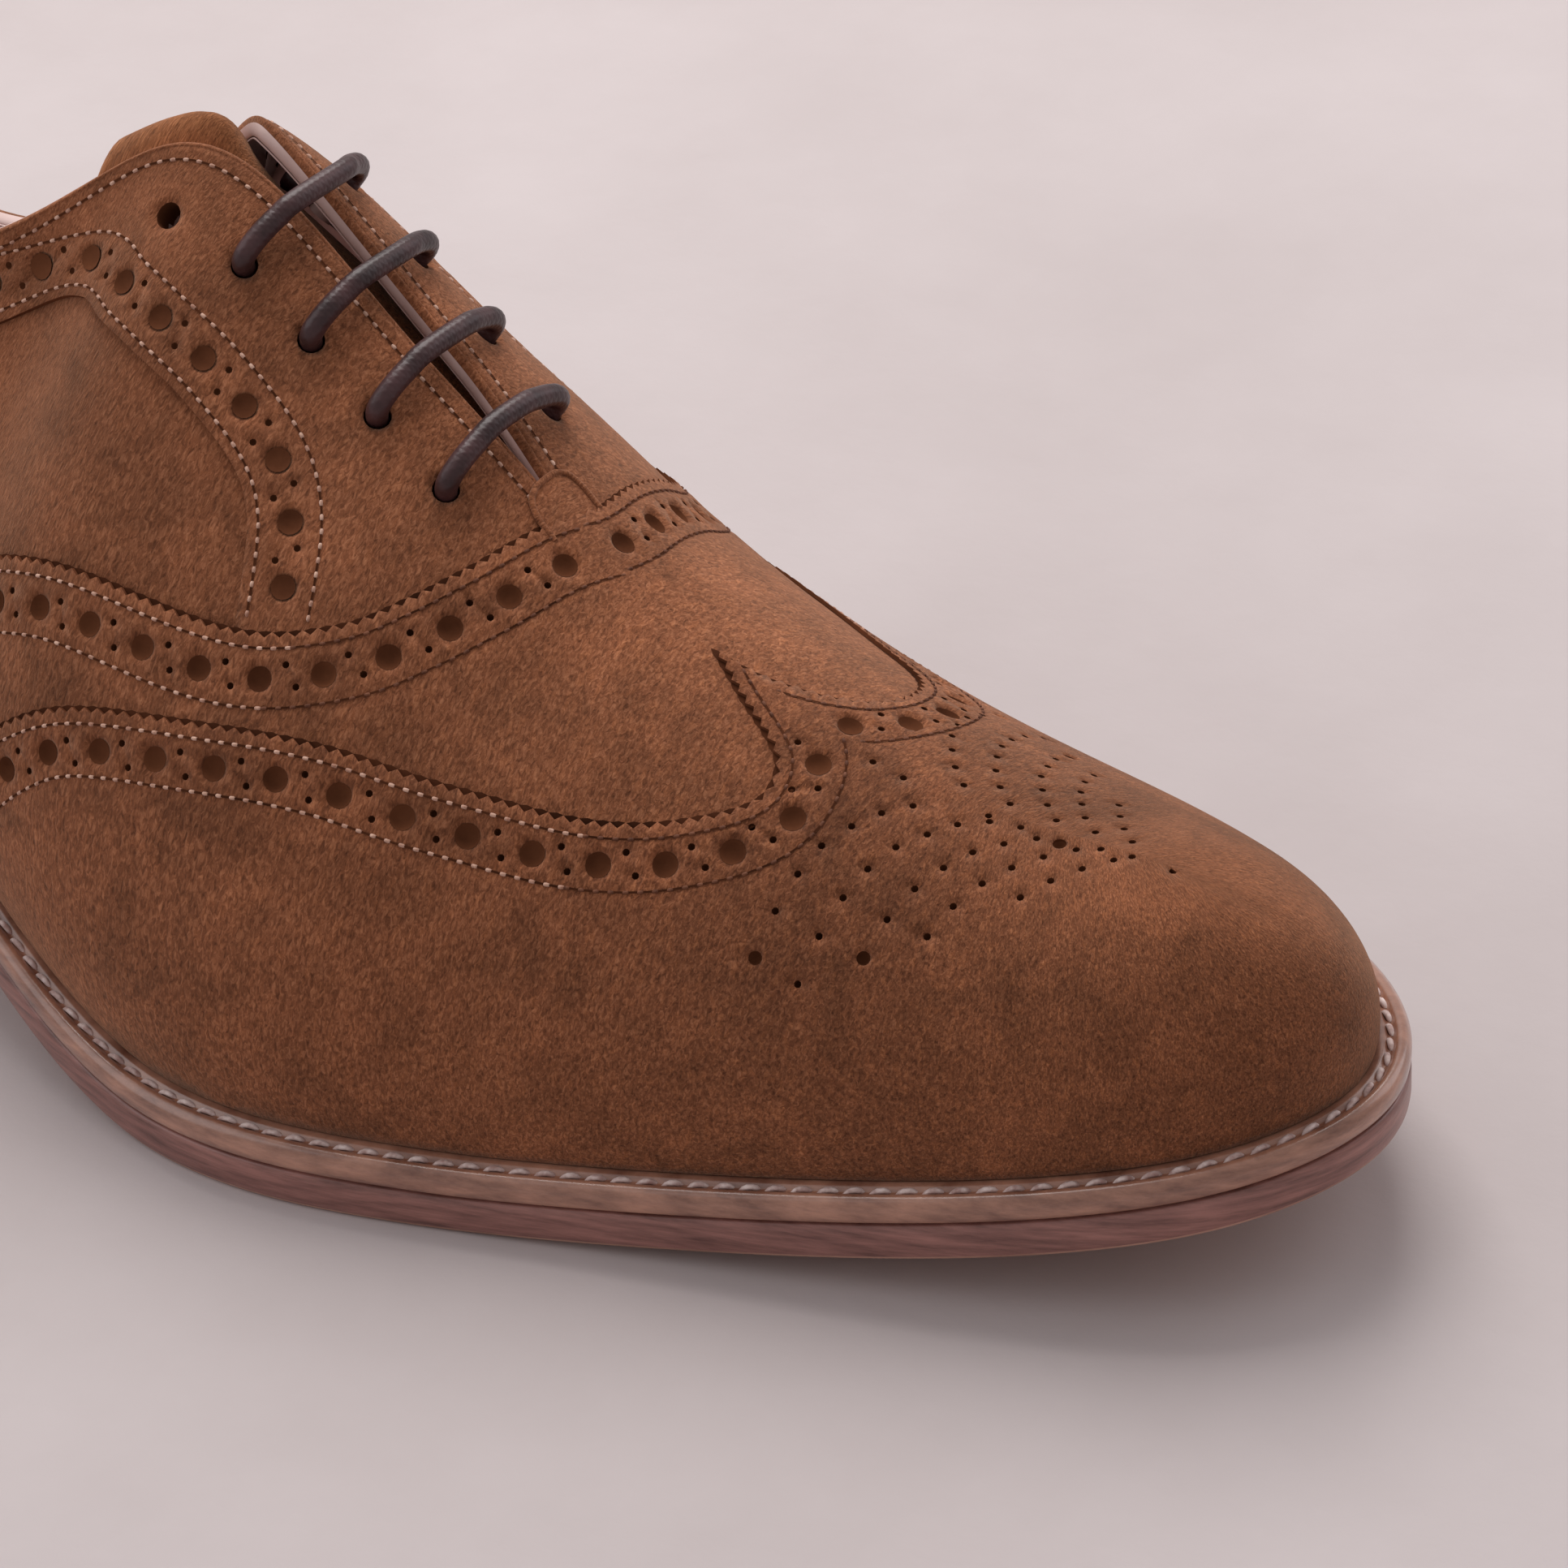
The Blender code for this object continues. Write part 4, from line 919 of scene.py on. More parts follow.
# Panels
def wing_side(side):
    line = wing_line(side)
    edge = pinked(side, line)
    edge[0] = WING_LINE[0]
    edge[-1] = WING_LINE[-1]
    outline = join_runs(rib_run(0.0, 0.0, 1.0), flat_run(0.0, WING_LINE[0][0], 1.0), edge,
                        flat_run(WING_LINE[-1][0], 0.0, 0.0))
    big, small, _ = band_holes(side, line, -WING_HOLES)
    big = clip_points(big, 0.5, 8.0)
    small = clip_points(small, 0.5, 8.0)
    toe_big, toe_small = medallion(side)
    rows = [seam_row(side, line, -d) for d in WING_ROWS]
    punched = [(big, BIG_HOLE), (toe_big, MEDIUM_HOLE), (np.vstack([small, toe_small]), PINHOLE)]
    return side, outline, punched, rows


def clip_row(row, top=0.9985, low=0.02):
    return row[(row[:, 1] < top) & (row[:, 1] > low)]


def seam_row(side, line, distance):
    """A stitch row beside a line, carried on to the crown."""
    row = offset(side, even(side, line, 0.0006), distance)
    step = (row[0] - row[5]) / 5
    if step[1] > 0 and row[0][1] < 0.998:
        count = min(int((0.998 - row[0][1]) / step[1]), 8)
        row = np.vstack([row[0] + step * np.arange(count, 0, -1)[:, None], row])
    return clip_row(row)


def wing_line(side):
    return smooth_line(WING_LINE if side > 0 else WING_LINE_INNER)


def vamp_line(side):
    return smooth_line(VAMP_LINE if side > 0 else VAMP_LINE_INNER)


def vamp_side(side):
    line = vamp_line(side)
    edge = pinked(side, line)
    edge[0] = VAMP_LINE[0]
    wing = offset(side, even(side, wing_line(side), 0.002), -TUCK)
    wing = wing[(wing[:, 1] < 0.985) & (wing[:, 1] > 0.01)]
    first = (wing[0][0] - 0.05, 1.0)
    last = (wing[-1][0] + 0.02, 0.0)
    end, top = VAMP_LINE[-1]
    outline = join_runs(flat_run(first[0], VAMP_LINE[0][0], 1.0), edge, rib_run(end, top, 0.0),
                        flat_run(end, last[0], 0.0), wing[::-1], np.array([first]))
    big, small, _ = band_holes(side, line, -VAMP_HOLES)
    rows = [seam_row(side, line, -d) for d in VAMP_ROWS]
    punched = [(clip_points(big, 4.6, 9.6), BIG_HOLE), (clip_points(small, 4.6, 9.6), PINHOLE)]
    return side, outline, punched, rows


def facing_side(side):
    line = smooth_line(FACING_LINE)
    vamp = offset(side, even(side, vamp_line(side), 0.002), -TUCK)
    vamp = vamp[(vamp[:, 0] < 6.22) & (vamp[:, 1] < 0.985)]
    start = np.array([(vamp[0][0] - 0.03, RIM_TOP)])
    rim = flat_run(HEEL_STATION, start[0][0], RIM_TOP)
    outline = join_runs(rim, vamp, line[line[:, 0] > 6.22],
                        rib_run(HEEL_STATION, FACING_LINE[-1][1], RIM_TOP))
    big, small, _ = band_holes(side, line, FACING_HOLES)
    rows = [clip_row(offset(side, even(side, line, 0.002), d)) for d in FACING_ROWS]
    rows.append(rim_row(side))
    punched = [(clip_points(big, 5.95, 12.9), BIG_HOLE), (clip_points(small, 5.95, 12.9), PINHOLE),
               (EYELET_POINTS, EYELET_HOLE)]
    return side, outline, punched, rows


RIM_TOP = 0.997


def rim_row(side, distance=0.0021):
    stations = np.arange(5.34, HEEL_STATION, 0.1)
    return np.array([(s, height_below_rim(side, s, distance)) for s in stations])


def counter_side(side):
    line = smooth_line(COUNTER_LINE)
    front = COUNTER_LINE[0]
    outline = join_runs(rib_run(front[0], 0.0, front[1]), line,
                        rib_run(HEEL_STATION, COUNTER_LINE[-1][1], 0.0),
                        flat_run(HEEL_STATION, front[0], 0.0))
    rows = [clip_row(offset(side, even(side, line, 0.002), -0.0018)),
            clip_row(offset(side, even(side, line, 0.002), -0.0038))]
    return side, outline, [], rows


def whole_side(side):
    outline = join_runs(rib_run(0.0, 0.0, 1.0), flat_run(0.0, HEEL_STATION, 1.0),
                        rib_run(HEEL_STATION, 1.0, 0.0), flat_run(HEEL_STATION, 0.0, 0.0))
    return side, outline, [(EYELET_POINTS, EYELET_HOLE)], []


def make_lining():
    """The inner face of the upper's wall, seen down the collar and in the throat."""
    sides = [whole_side(side) for side in (1, -1)]
    verts, faces, uvs = [], [], []
    start = 0
    for side, outline, punched, rows in sides:
        v, f, i, u, _ = panel_side(side, outline, LINING_DEPTH, 0.0002, punched, rows)
        verts.append(v)
        uvs.append(u)
        faces += [tuple(k + start for k in face[::-1]) for face in f]
        start += len(v)
    obj = make_object("upper_lining", np.vstack(verts), faces, [LINING], None, np.vstack(uvs))
    return finish_piece(obj, "lining_leather")


def make_rim():
    """The folded top edge round the collar and throat: suede outside, lining inside."""
    near = np.arange(CLOSED_STATION, HEEL_STATION + 0.001, 0.05)
    stations = np.concatenate([near, -near[-2::-1]])
    outer = skin(stations, 1.0, FACING_DEPTH)
    inner = skin(stations, 1.0, LINING_DEPTH)
    up = unit(surface(stations, 1.0) - surface(stations, 0.985))
    middle = (outer + inner) / 2
    half = (outer - inner) / 2
    verts, indices, faces = [], [], []
    turns = np.radians(np.array((-25, 0, 25, 50, 75, 100, 130, 160, 180, 205)))
    for turn in turns:
        verts.append(middle + half * math.cos(turn) + up * 0.00062 * math.sin(turn))
    count = len(stations)
    for r in range(len(turns) - 1):
        for c in range(count - 1):
            faces.append((r * count + c, r * count + c + 1, (r + 1) * count + c + 1, (r + 1) * count + c))
            indices.append(0 if r < 4 else 1)
    uvs = np.column_stack([np.tile(stations * CHART[0], len(turns)), np.repeat(turns * 0.001, count)])
    obj = make_object("topline", np.vstack(verts), faces, [SUEDE, LINING], indices, uvs)
    return finish_piece(obj, "tan_suede")


def make_hole_shade_cups(layers):
    """Painted shade: small dark cups at the bottom of the punched holes."""
    verts, faces = [], []
    for depth, sides in layers:
        deepest = min(SHADE_CUP_DEPTH, LOWEST_SHADE_CUP - depth)
        for side, _, punched, _ in sides:
            for centres, radius in punched:
                if not len(centres) or radius == EYELET_HOLE:
                    continue
                count = HOLE_KINDS[radius][0]
                for centre in centres:
                    start = len(verts)
                    for size, share in CUP:
                        ring = rings(side, centre[None], radius * size, count)[0]
                        sunk = depth + deepest * share + crease_depth(side, ring)
                        verts += list(skin(side * ring[:, 0], np.clip(ring[:, 1], 0, 1), sunk))
                    for r in range(len(CUP) - 1):
                        for k in range(count):
                            m = (k + 1) % count
                            face = (start + r * count + k, start + r * count + m,
                                    start + (r + 1) * count + m, start + (r + 1) * count + k)
                            faces.append(face if side > 0 else face[::-1])
                    last = tuple(range(len(verts) - count, len(verts)))
                    faces.append(last if side > 0 else last[::-1])
    obj = make_object("hole_shade_cups", verts, faces, [HOLE_SHADE_BROWN])
    return finish_piece(obj, "tan_suede")


def make_groove_shade(jobs):
    """Painted shade: the fine dark line along the trough that a stitch row is pulled into."""
    verts, faces = [], []
    for side, row, depth in jobs:
        if len(row) < 5:
            continue
        marks = even(side, row, 0.0009)
        start = len(verts)
        for step in (-GROOVE_SHADE_HALF, GROOVE_SHADE_HALF):
            points = np.clip(offset(side, marks, step), 0.0, (HEEL_STATION, 1.0))
            sunk = depth + 0.00006 + crease_depth(side, points)
            verts += list(skin(side * points[:, 0], points[:, 1], sunk))
        count = len(marks)
        strip = [(start + k, start + k + 1, start + count + k + 1, start + count + k)
                 for k in range(count - 1)]
        faces += strip if side > 0 else [face[::-1] for face in strip]
    obj = make_object("stitch_groove_shade", verts, faces, [PAINTED_SHADE])
    return finish_piece(obj, "tan_suede")


def make_edge_shadow(layers):
    """Painted shade: a dark strip that shows behind each pinked edge, on the layer below."""
    verts, faces = [], []
    for depth, lines in layers:
        for side, line in lines:
            marks = even(side, line, TOOTH_PITCH / 2)
            inner = offset(side, marks, -TOOTH_DEPTH - 0.0006)
            depths = np.where(np.arange(len(marks)) % 2 == 0, 0.00006, 0.00024)
            outer = offset(side, marks, depths)
            start = len(verts)
            for points in (inner, outer):
                points = np.clip(points, 0.0, (HEEL_STATION, 1.0))
                sunk = depth + crease_depth(side, points)
                verts += list(skin(side * points[:, 0], points[:, 1], sunk))
            count = len(marks)
            strip = [(start + k, start + k + 1, start + count + k + 1, start + count + k)
                     for k in range(count - 1)]
            faces += strip if side > 0 else [face[::-1] for face in strip]
    obj = make_object("edge_shadow", verts, faces, [PAINTED_SHADE])
    return finish_piece(obj, "tan_suede")


# The curved tack that closes the throat's bottom
TACK = ((5.26, 0.945), (5.37, 0.950), (5.44, 0.963), (5.465, 0.983), (5.47, 0.998))
TACK_RADIUS = 0.00042


# Station from which a layer's stitches look pale; before it the thread has darkened
PALE_FROM = {WING_DEPTH: 4.55, VAMP_DEPTH: 6.0, FACING_DEPTH: 0.0, COUNTER_DEPTH: 0.0}


# Stitches
def stitch_mesh(side, row, depth, pitch, length, radius, lift=0.35):
    """Small raised stitches along a row, each dipping into the panel at both ends."""
    marks = even(side, row, pitch)
    tangent = np.gradient(marks, axis=0)
    gram = metric(side, marks)
    size = np.sqrt(np.einsum("nij,ni,nj->n", gram, tangent, tangent))
    ahead = tangent / size[:, None]
    shares = np.array((-0.5, -0.38, -0.16, 0.16, 0.38, 0.5))
    swell = np.array((0.45, 0.85, 1.0, 1.0, 0.85, 0.45))
    rise = np.array((-0.9, -0.1, 1.0, 1.0, -0.1, -0.9)) * lift
    sides = 6
    angles = np.arange(sides) * 2 * math.pi / sides
    verts = []
    for share, width, up in zip(shares, swell, rise):
        chart = marks + ahead * (share * length)
        chart[:, 1] = np.clip(chart[:, 1], 0.0, 1.0)
        station = side * chart[:, 0]
        normal = skin_normal(station, chart[:, 1])
        place = skin(station, chart[:, 1], depth + crease_depth(side, chart) + TROUGH_DEPTH - radius * up)
        along = unit(np.gradient(place, axis=0))
        across = unit(np.cross(normal, along))
        for angle in angles:
            verts.append(place + (across * math.cos(angle) + normal * math.sin(angle)) * radius * width)
    rows = len(shares)
    verts = np.stack(verts, 1)
    faces = []
    for n in range(len(marks)):
        base = n * rows * sides
        for r in range(rows - 1):
            for k in range(sides):
                m = (k + 1) % sides
                faces.append((base + r * sides + k, base + r * sides + m,
                              base + (r + 1) * sides + m, base + (r + 1) * sides + k))
    return verts.reshape(-1, 3), faces


def make_stitches(name, jobs, material, pitch=STITCH_PITCH, length=STITCH_LENGTH, radius=STITCH_RADIUS):
    verts, faces = [], []
    start = 0
    for side, row, depth in jobs:
        if len(row) < 5:
            continue
        v, f = stitch_mesh(side, row, depth, pitch, length, radius)
        verts.append(v)
        faces += [tuple(i + start for i in face) for face in f]
        start += len(v)
    obj = make_object(name, np.vstack(verts), faces, [material])
    return finish_piece(obj, "lining_leather")


# Lace
def eyelet_passage(key, next_key):
    place, normal, station, height = EYELETS[key]
    reach = 2.2 * LACE_RADIUS / EYELET_INSET * (1.0 - height)
    above = skin(station, height + reach, -LACE_OVER)
    ahead = unit(above - place - normal * LACE_OVER)
    _, _, next_station, next_height = EYELETS[next_key]
    below = skin(next_station, next_height, LACE_INNER_DEPTH) - (place - normal * LACE_INNER_DEPTH)
    below = unit(below - normal * np.dot(below, normal))
    return [above,
            place + normal * 0.75 * LACE_OVER + ahead * 0.8 * LACE_RADIUS,
            place,
            place - normal * (LINING_DEPTH - SEAM),
            place - normal * (LACE_INNER_DEPTH - 0.45 * LACE_RADIUS) + below * 0.8 * LACE_RADIUS,
            place - normal * LACE_INNER_DEPTH + below * 2.2 * LACE_RADIUS]


def lace_bar(key):
    _, _, station, height = EYELETS[key]
    return [skin(station, height + (1.0 - height) * share, -LACE_OVER) for share in (0.6, 0.95)]


def lace_run(start, end, sway=0.0):
    _, _, first, first_height = EYELETS[start]
    _, _, last, last_height = EYELETS[end]
    count = max(1, 2 * abs(start[1] - end[1]) - 1)
    shares = [(i + 1) / (count + 1) for i in range(count)]
    lower = sway / EYELET_INSET * (1.0 - first_height)
    return [skin(first + (last - first) * f, first_height + (last_height - first_height) * f - lower,
                 LACE_INNER_DEPTH) for f in shares]


def lace_route():
    near, far = -1, 1
    top = EYELET_COUNT - 1
    points = lace_run((far, top), (far, 0), LACE_SWAY)
    side = far
    below = (far, 1)
    for number in range(LACED_EYELETS):
        start, end = (side, number), (-side, number)
        points = points + eyelet_passage(start, below)[::-1]
        points = points + lace_bar(start) + lace_bar(end)[::-1]
        onward = (-side, number + 1)
        points = points + eyelet_passage(end, onward)
        points = points + lace_run(end, onward)
        below = end
        side = -side
    return np.array(points)


def tube(name, points, radius, sides, material):
    """A round cord along a smooth curve through its points."""
    padded = np.vstack([2 * points[0] - points[1], points, 2 * points[-1] - points[-2]])
    path = []
    for i in range(1, len(padded) - 2):
        a, b, c, d = padded[i - 1:i + 3]
        for t in np.arange(6) / 6:
            path.append(0.5 * (2 * b + (c - a) * t + (2 * a - 5 * b + 4 * c - d) * t ** 2
                               + (3 * b - a - 3 * c + d) * t ** 3))
    path = np.array(path + [points[-1]])
    tangent = unit(np.gradient(path, axis=0))
    normal = unit(np.cross(tangent[0], (0.3, 0.5, 0.8)))
    run = np.concatenate([[0.0], np.cumsum(np.linalg.norm(np.diff(path, axis=0), axis=1))])
    angles = np.arange(sides) * 2 * math.pi / sides
    verts, uvs, faces = [], [], []
    for place, along, length in zip(path, tangent, run):
        normal = unit(normal - along * np.dot(normal, along))
        across = np.cross(along, normal)
        for angle in angles:
            verts.append(place + (normal * math.cos(angle) + across * math.sin(angle)) * radius)
            uvs.append((length, angle * radius))
    for r in range(len(path) - 1):
        for k in range(sides):
            m = (k + 1) % sides
            faces.append((r * sides + k, r * sides + m, (r + 1) * sides + m, (r + 1) * sides + k))
    faces += [tuple(range(sides))[::-1], tuple(range(len(verts) - sides, len(verts)))]
    return make_object(name, verts, faces, [material], None, uvs)


# Tongue
def make_tongue():
    across = np.array(TONGUE_ACROSS)
    rows = []
    chart = []
    for station, spread, share, lift in TONGUE_ROWS:
        depth = TONGUE_SEATED + (TONGUE_DEPTH - TONGUE_SEATED) * share
        sides = [skin(np.full(len(across), place), 1.0 - spread * across, depth)
                 for place in (station, -station)]
        crown = skin(np.array([station, -station]), 1.0, depth).mean(axis=0)
        for points in sides:
            points[:, 2] += TONGUE_LIFT * lift * (1.0 - across) ** 3
        crown[2] += TONGUE_LIFT * lift
        rows.append(list(sides[0]) + [crown] + list(sides[1][::-1]))
        wide = np.concatenate([-across, [0.0], across[::-1]]) * spread
        chart.append(np.column_stack([np.full(len(wide), station), wide]) * CHART)
    count = len(rows[0])
    faces = [(r * count + c, r * count + c + 1, (r + 1) * count + c + 1, (r + 1) * count + c)
             for r in range(len(rows) - 1) for c in range(count - 1)]
    obj = make_object("tongue_suede", np.vstack(rows), faces, [TONGUE_SUEDE, LINING], None, np.vstack(chart))
    score = sum((p.center - Vector((0.12, 0.0, 0.03))).dot(p.normal) for p in obj.data.polygons)
    if score < 0:
        obj.data.flip_normals()
    smooth = obj.modifiers.new("smooth", "SUBSURF")
    smooth.levels = 3
    smooth.render_levels = 3
    solid = obj.modifiers.new("wall", "SOLIDIFY")
    solid.thickness = TONGUE_THICKNESS
    solid.offset = -1.0
    solid.material_offset = 1
    return finish_piece(obj, "tongue_suede", "tongue")


def make_tack():
    """The half-moon that closes the throat's bottom, with its raised edge."""
    line = smooth_line(TACK, 5)
    depth = FACING_DEPTH - TACK_RADIUS
    near = skin(line[:, 0], line[:, 1], depth)
    far = skin(-line[:, 0], line[:, 1], depth)
    arc = np.vstack([near[:-1], (near[-1:] + far[-1:]) / 2, far[-2::-1]])
    edge = tube("tack_edge", arc, TACK_RADIUS, 8, SUEDE)
    finish_piece(edge, "tan_suede")
    middle = skin(np.array([5.22, -5.22]), 1.0, depth).mean(axis=0)
    verts = np.vstack([middle, arc])
    faces = [(0, k, k + 1) for k in range(1, len(arc))]
    uvs = verts[:, :2] - middle[:2]
    patch = make_object("tack_patch", verts, faces, [SUEDE], None, uvs)
    if sum(p.normal.z for p in patch.data.polygons) < 0:
        patch.data.flip_normals()
    finish_piece(patch, "tan_suede")


# Sole
def foot_outline(stations, margin):
    feather, _, _ = feather_and_crown(stations)
    return feather[:, :2] + outward(stations) * np.asarray(margin)[..., None]


def sole_margin(station):
    share = station_values(station)["along"]
    return HEEL_MARGIN + (WELT_MARGIN - HEEL_MARGIN) * smooth_step((share - MARGIN_START) / MARGIN_RUN)


def sweep(name, profile, base, materials, slot, *nodes, fill=False):
    """A strip round the foot. Profile rows: inset from the sole's edge, height, material."""
    near = np.linspace(0.0, HEEL_STATION, 261)
    stations = np.concatenate([near, -near[-2:0:-1]])
    margin = sole_margin(stations)
    count = len(stations)
    verts, indices, faces, uvs = [], [], [], []
    run = np.concatenate([[0.0], np.cumsum(np.linalg.norm(np.diff(foot_outline(stations, margin), axis=0), axis=1))])
    for inset, height, _ in profile:
        outline = foot_outline(stations, margin - inset)
        verts.append(np.column_stack([outline, base(outline[:, 0]) + height]))
        uvs.append(np.column_stack([run, np.full(count, height)]))
    for r in range(len(profile) - 1):
        for c in range(count):
            d = (c + 1) % count
            faces.append((r * count + c, r * count + d, (r + 1) * count + d, (r + 1) * count + c))
            indices.append(profile[r][2])
    if fill:
        last = (len(profile) - 1) * count
        half = len(near) - 1
        for k in range(1, half):
            faces.append((last + k, last + k + 1, last + (count - k - 1) % count, last + (count - k) % count))
            indices.append(profile[-1][2])
        faces.append((last, last + 1, last + count - 1))
        indices.append(profile[-1][2])
    obj = make_object(name, np.vstack(verts), [f[::-1] for f in faces], materials, indices, np.vstack(uvs))
    return finish_piece(obj, slot, *nodes)


WELT_PROFILE = ((0.0062, 0.0032, 0), (0.0050, 0.0034, 0), (0.0034, 0.0034, 0), (0.0031, 0.0033, 0),
                (0.0028, 0.0029, 0), (0.0022, 0.0028, 0), (0.0019, 0.0032, 0), (0.0016, 0.0034, 0),
                (0.0011, 0.00335, 0), (0.0006, 0.0031, 0), (0.0002, 0.0026, 0), (0.0, 0.0020, 0),
                (0.0, 0.0008, 0), (0.0001, 0.0003, 0), (0.0004, 0.0, 0), (0.0050, 0.0, 0))
OUTSOLE_PROFILE = ((0.0050, 0.0052, 0), (0.0004, 0.0052, 0), (0.0001, 0.0049, 0), (0.0, 0.0040, 0),
                   (0.0, 0.0014, 0), (0.0001, 0.0007, 2), (0.0003, 0.0003, 2), (0.0006, 0.0001, 1),
                   (0.0012, 0.0, 1), (0.0060, 0.0, 1))


def welt_stitches():
    """Lockstitches lying in the welt's groove, round the forefoot and waist."""
    near = np.linspace(0.0, 10.2, 1200)
    stations = np.concatenate([-near[::-1], near[1:]])
    margin = sole_margin(stations)
    outline = foot_outline(stations, margin - 0.0025)
    path = np.column_stack([outline, welt_bottom(outline[:, 0]) + 0.0030])
    run = np.concatenate([[0.0], np.cumsum(np.linalg.norm(np.diff(path, axis=0), axis=1))])
    pitch, length, radius = 0.0032, 0.0026, 0.00040
    marks = np.arange(pitch, run[-1] - pitch, pitch)
    shares = np.array((-0.5, -0.36, -0.14, 0.14, 0.36, 0.5))
    swell = np.array((0.35, 0.85, 1.0, 1.0, 0.85, 0.35))
    rise = np.array((-0.5, 0.1, 0.6, 0.6, 0.1, -0.5))
    lean = np.array((-0.5, -0.3, -0.1, 0.1, 0.3, 0.5)) * 0.0005
    sides = 8
    verts, faces = [], []
    up = np.array((0.0, 0.0, 1.0))
    for mark in marks:
        base = len(verts)
        for share, width, lift, slip in zip(shares, swell, rise, lean):
            place = np.array([np.interp(mark + share * length, run, path[:, k]) for k in range(3)])
            ahead = np.array([np.interp(mark + share * length + 0.0004, run, path[:, k]) for k in range(3)])
            along = unit(ahead - place)
            across = unit(np.cross(up, along))
            place = place + up * radius * lift + across * slip
            for k in range(sides):
                angle = 2 * math.pi * k / sides
                verts.append(place + (across * math.cos(angle) + up * 0.8 * math.sin(angle)) * radius * width)
        for r in range(len(shares) - 1):
            for k in range(sides):
                m = (k + 1) % sides
                faces.append((base + r * sides + k, base + r * sides + m,
                              base + (r + 1) * sides + m, base + (r + 1) * sides + k))
    obj = make_object("welt_stitches", verts, faces, [WELT_THREAD])
    return finish_piece(obj, "lining_leather")


def heel_layer(name, top, bottom, material, slot, *nodes):
    """One layer of the heel with softly rounded edges."""
    stations = np.linspace(8.0, HEEL_STATION, 161)

    def outline(drop, inset):
        taper = HEEL_TAPER * drop / HEEL_HEIGHT + inset
        lines = []
        for sign in (1, -1):
            line = foot_outline(sign * stations, sole_margin(stations) - HEEL_SET - taper)
            breast = HEEL_BREAST - taper
            keep = line[line[:, 0] < breast]
            start = np.array([breast, np.interp(breast, line[::-1, 0], line[::-1, 1])])
            line = np.vstack([start, keep])
            run = np.concatenate([[0.0], np.cumsum(np.linalg.norm(np.diff(line, axis=0), axis=1))])
            places = np.linspace(0.0, run[-1], 60)
            lines.append(np.column_stack([np.interp(places, run, line[:, k]) for k in range(2)]))
        ring = np.vstack([lines[0], lines[1][-2::-1]])
        return np.column_stack([ring, np.full(len(ring), HEEL_HEIGHT - drop)])

    soft = 0.00035
    rows = [outline(top, 0.004), outline(top, soft), outline(top + soft * 0.4, soft * 0.3),
            outline(top + soft, 0.0), outline(bottom - soft, 0.0), outline(bottom - soft * 0.4, soft * 0.3),
            outline(bottom, soft), outline(bottom, 0.004)]
    count = len(rows[0])
    faces = []
    for r in range(len(rows) - 1):
        for c in range(count):
            d = (c + 1) % count
            faces.append((r * count + c, r * count + d, (r + 1) * count + d, (r + 1) * count + c))
    faces.append(tuple(range((len(rows) - 1) * count, len(rows) * count)))
    faces.append(tuple(range(count))[::-1])
    obj = make_object(name, np.vstack(rows), faces, [material])
    obj.data.set_sharp_from_angle(angle=math.radians(35))
    return finish_piece(obj, slot, *nodes)


def make_heel():
    body = HEEL_HEIGHT - TOP_PIECE_THICKNESS - SEAM
    pitch = body / HEEL_LIFTS
    for i in range(HEEL_LIFTS):
        heel_layer(f"lift_leather_{i + 1}", i * pitch + SEAM, (i + 1) * pitch, HEEL_LEATHER,
                   "heel_leather", f"heel_lift_{i + 1}")
    heel_layer("top_piece_rubber", body + SEAM, HEEL_HEIGHT, RUBBER, "heel_rubber", "heel_top_piece")


# Camera and light
TARGET = np.array((0.19125, -0.00262, 0.04112))
AZIMUTH = math.radians(38.07)
ELEVATION = math.radians(34.77)
ROLL = math.radians(-4.2)
DISTANCE = 0.60156
FRAME_WIDTH_AT_TARGET = 0.18721
SENSOR = 36.0


def make_camera():
    back = np.array((math.sin(AZIMUTH) * math.cos(ELEVATION), -math.cos(AZIMUTH) * math.cos(ELEVATION),
                     math.sin(ELEVATION)))
    right = unit(np.cross(-back, (0.0, 0.0, 1.0)))
    up = np.cross(right, -back)
    turned_right = right * math.cos(ROLL) + up * math.sin(ROLL)
    turned_up = -right * math.sin(ROLL) + up * math.cos(ROLL)
    data = bpy.data.cameras.new("camera")
    data.sensor_width = SENSOR
    data.lens = SENSOR * DISTANCE / FRAME_WIDTH_AT_TARGET
    data.clip_start = 0.01
    camera = bpy.data.objects.new("camera", data)
    bpy.context.scene.collection.objects.link(camera)
    matrix = np.eye(4)
    matrix[:3, 0] = turned_right
    matrix[:3, 1] = turned_up
    matrix[:3, 2] = back
    matrix[:3, 3] = TARGET + back * DISTANCE
    camera.matrix_world = Matrix(matrix.tolist())
    bpy.context.scene.camera = camera


def area_light(name, place, size, power, colour, aim=(0.12, 0.0, 0.03)):
    data = bpy.data.lights.new(name, "AREA")
    data.size = size
    data.energy = power
    data.color = colour
    light = bpy.data.objects.new(name, data)
    light.location = place
    light.rotation_euler = (Vector(aim) - Vector(place)).to_track_quat("-Z", "Y").to_euler()
    bpy.context.scene.collection.objects.link(light)


def make_stage():
    size = 3.0
    verts = [(x, y, 0.0) for x, y in ((-size, -size), (size, -size), (size, size), (-size, size))]
    floor = make_object("floor", verts, [(0, 1, 2, 3)], [floor_material()])
    world = bpy.data.worlds.new("studio")
    bpy.context.scene.world = world
    world.use_nodes = True
    world.node_tree.nodes["Background"].inputs[0].default_value = (1.0, 0.965, 0.975, 1.0)
    world.node_tree.nodes["Background"].inputs[1].default_value = 0.42
    area_light("key", (-0.25, 0.45, 0.95), 0.7, 9.0, (1.0, 0.97, 0.95))
    area_light("side", (-0.6, -0.5, 0.7), 0.9, 2.4, (0.96, 0.97, 1.0))
    area_light("back", (0.6, 0.9, 0.6), 0.8, 2.4, (0.95, 0.95, 1.0))
    bpy.context.scene.view_settings.view_transform = "Standard"


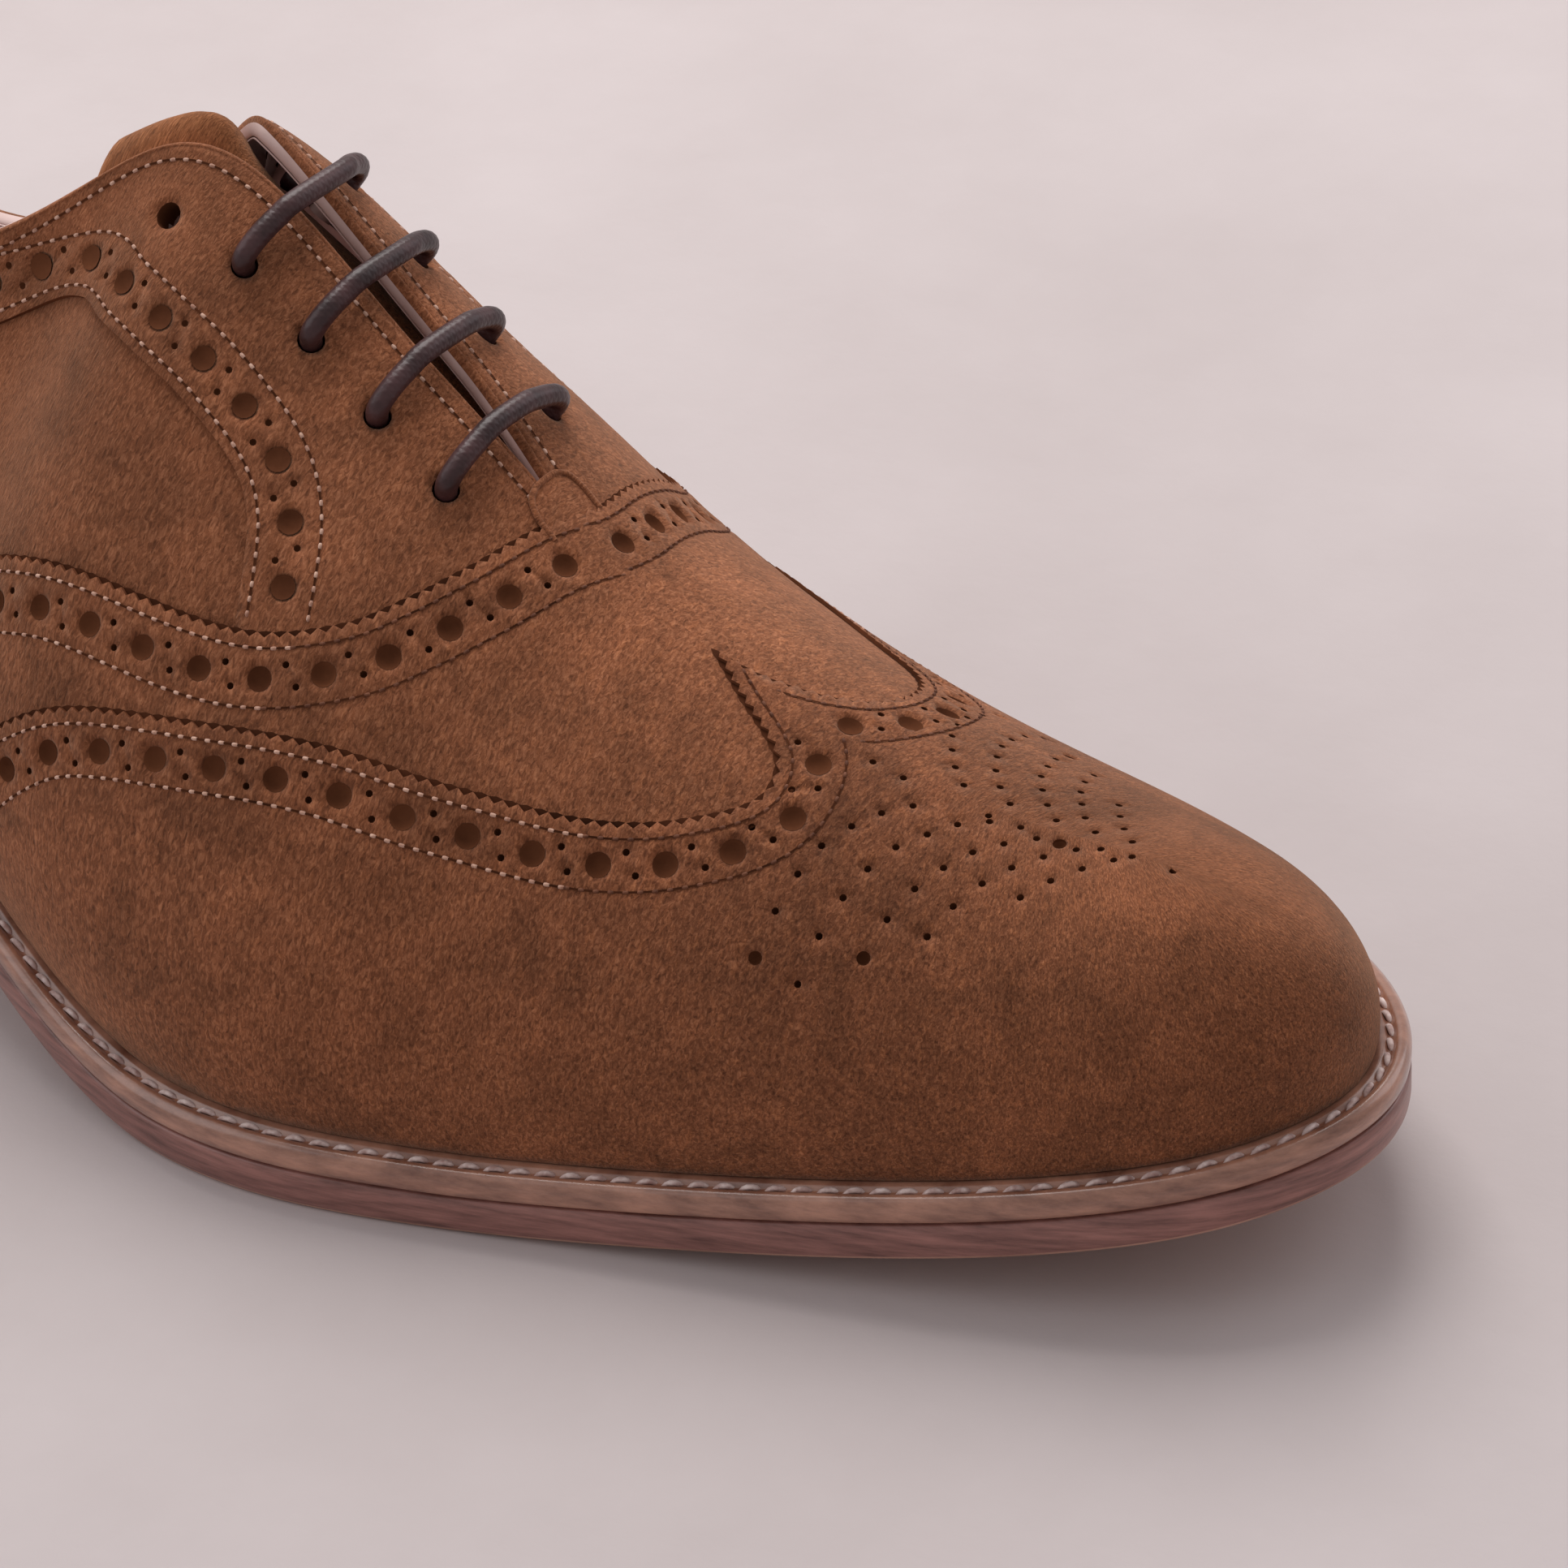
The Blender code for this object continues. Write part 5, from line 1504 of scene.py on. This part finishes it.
def build():
    wings = [wing_side(side) for side in (1, -1)]
    vamps = [vamp_side(side) for side in (1, -1)]
    facings = [facing_side(side) for side in (1, -1)]
    counters = [counter_side(side) for side in (1, -1)]
    panel("quarter_suede", [whole_side(side) for side in (1, -1)], WALL_DEPTH, 0.0010, SUEDE,
          "tan_suede", "upper")
    panel("wing_suede", wings, WING_DEPTH, 0.0010, WING_SUEDE, "wing_suede", "wing_cap")
    panel("vamp_suede", vamps, VAMP_DEPTH, 0.0012, SUEDE, "tan_suede", "vamp")
    panel("facing_suede", facings, FACING_DEPTH, 0.0008, SUEDE, "tan_suede", "facing")
    panel("counter_suede", counters, COUNTER_DEPTH, 0.0013, SUEDE, "tan_suede", "counter")
    make_lining()
    make_rim()
    layers = ((WING_DEPTH, wings), (VAMP_DEPTH, vamps), (FACING_DEPTH, facings), (COUNTER_DEPTH, counters))
    # Painted shade cups in the punched holes
    make_hole_shade_cups(layers)
    wing_lines = [(side, wing_line(side)) for side in (1, -1)]
    vamp_lines = [(side, vamp_line(side)) for side in (1, -1)]
    make_edge_shadow(((VAMP_DEPTH - 0.00006, wing_lines), (FACING_DEPTH - 0.00006, vamp_lines)))
    pale, dark = [], []
    for depth, sides in layers:
        limit = PALE_FROM[depth]
        for side, _, _, rows in sides:
            for row in rows:
                pale.append((side, row[row[:, 0] >= limit], depth))
                dark.append((side, row[row[:, 0] < limit], depth))
    make_tack()
    # Painted shade strips along every stitch row
    make_groove_shade(pale + dark)
    make_stitches("stitches", pale, THREAD)
    make_stitches("stitches_dark", dark, DARK_THREAD)
    lace = tube("lace_cord", lace_route(), LACE_RADIUS, 16, CORD)
    finish_piece(lace, "waxed_cotton", "lace")
    make_tongue()
    sweep("welt_strip", WELT_PROFILE, welt_bottom, [WELT_LEATHER], "welt_leather", "welt")
    sweep("sole_leather", OUTSOLE_PROFILE, underside, [SOLE_LEATHER, SOLE_BOTTOM, PALE_EDGE], "sole_leather",
          "outsole", fill=True)
    welt_stitches()
    make_heel()
    insole = bpy.data.objects.get("insole")
    if insole is not None:
        for slot in insole.material_slots:
            slot.material = LINING
    make_stage()
    make_camera()


build()
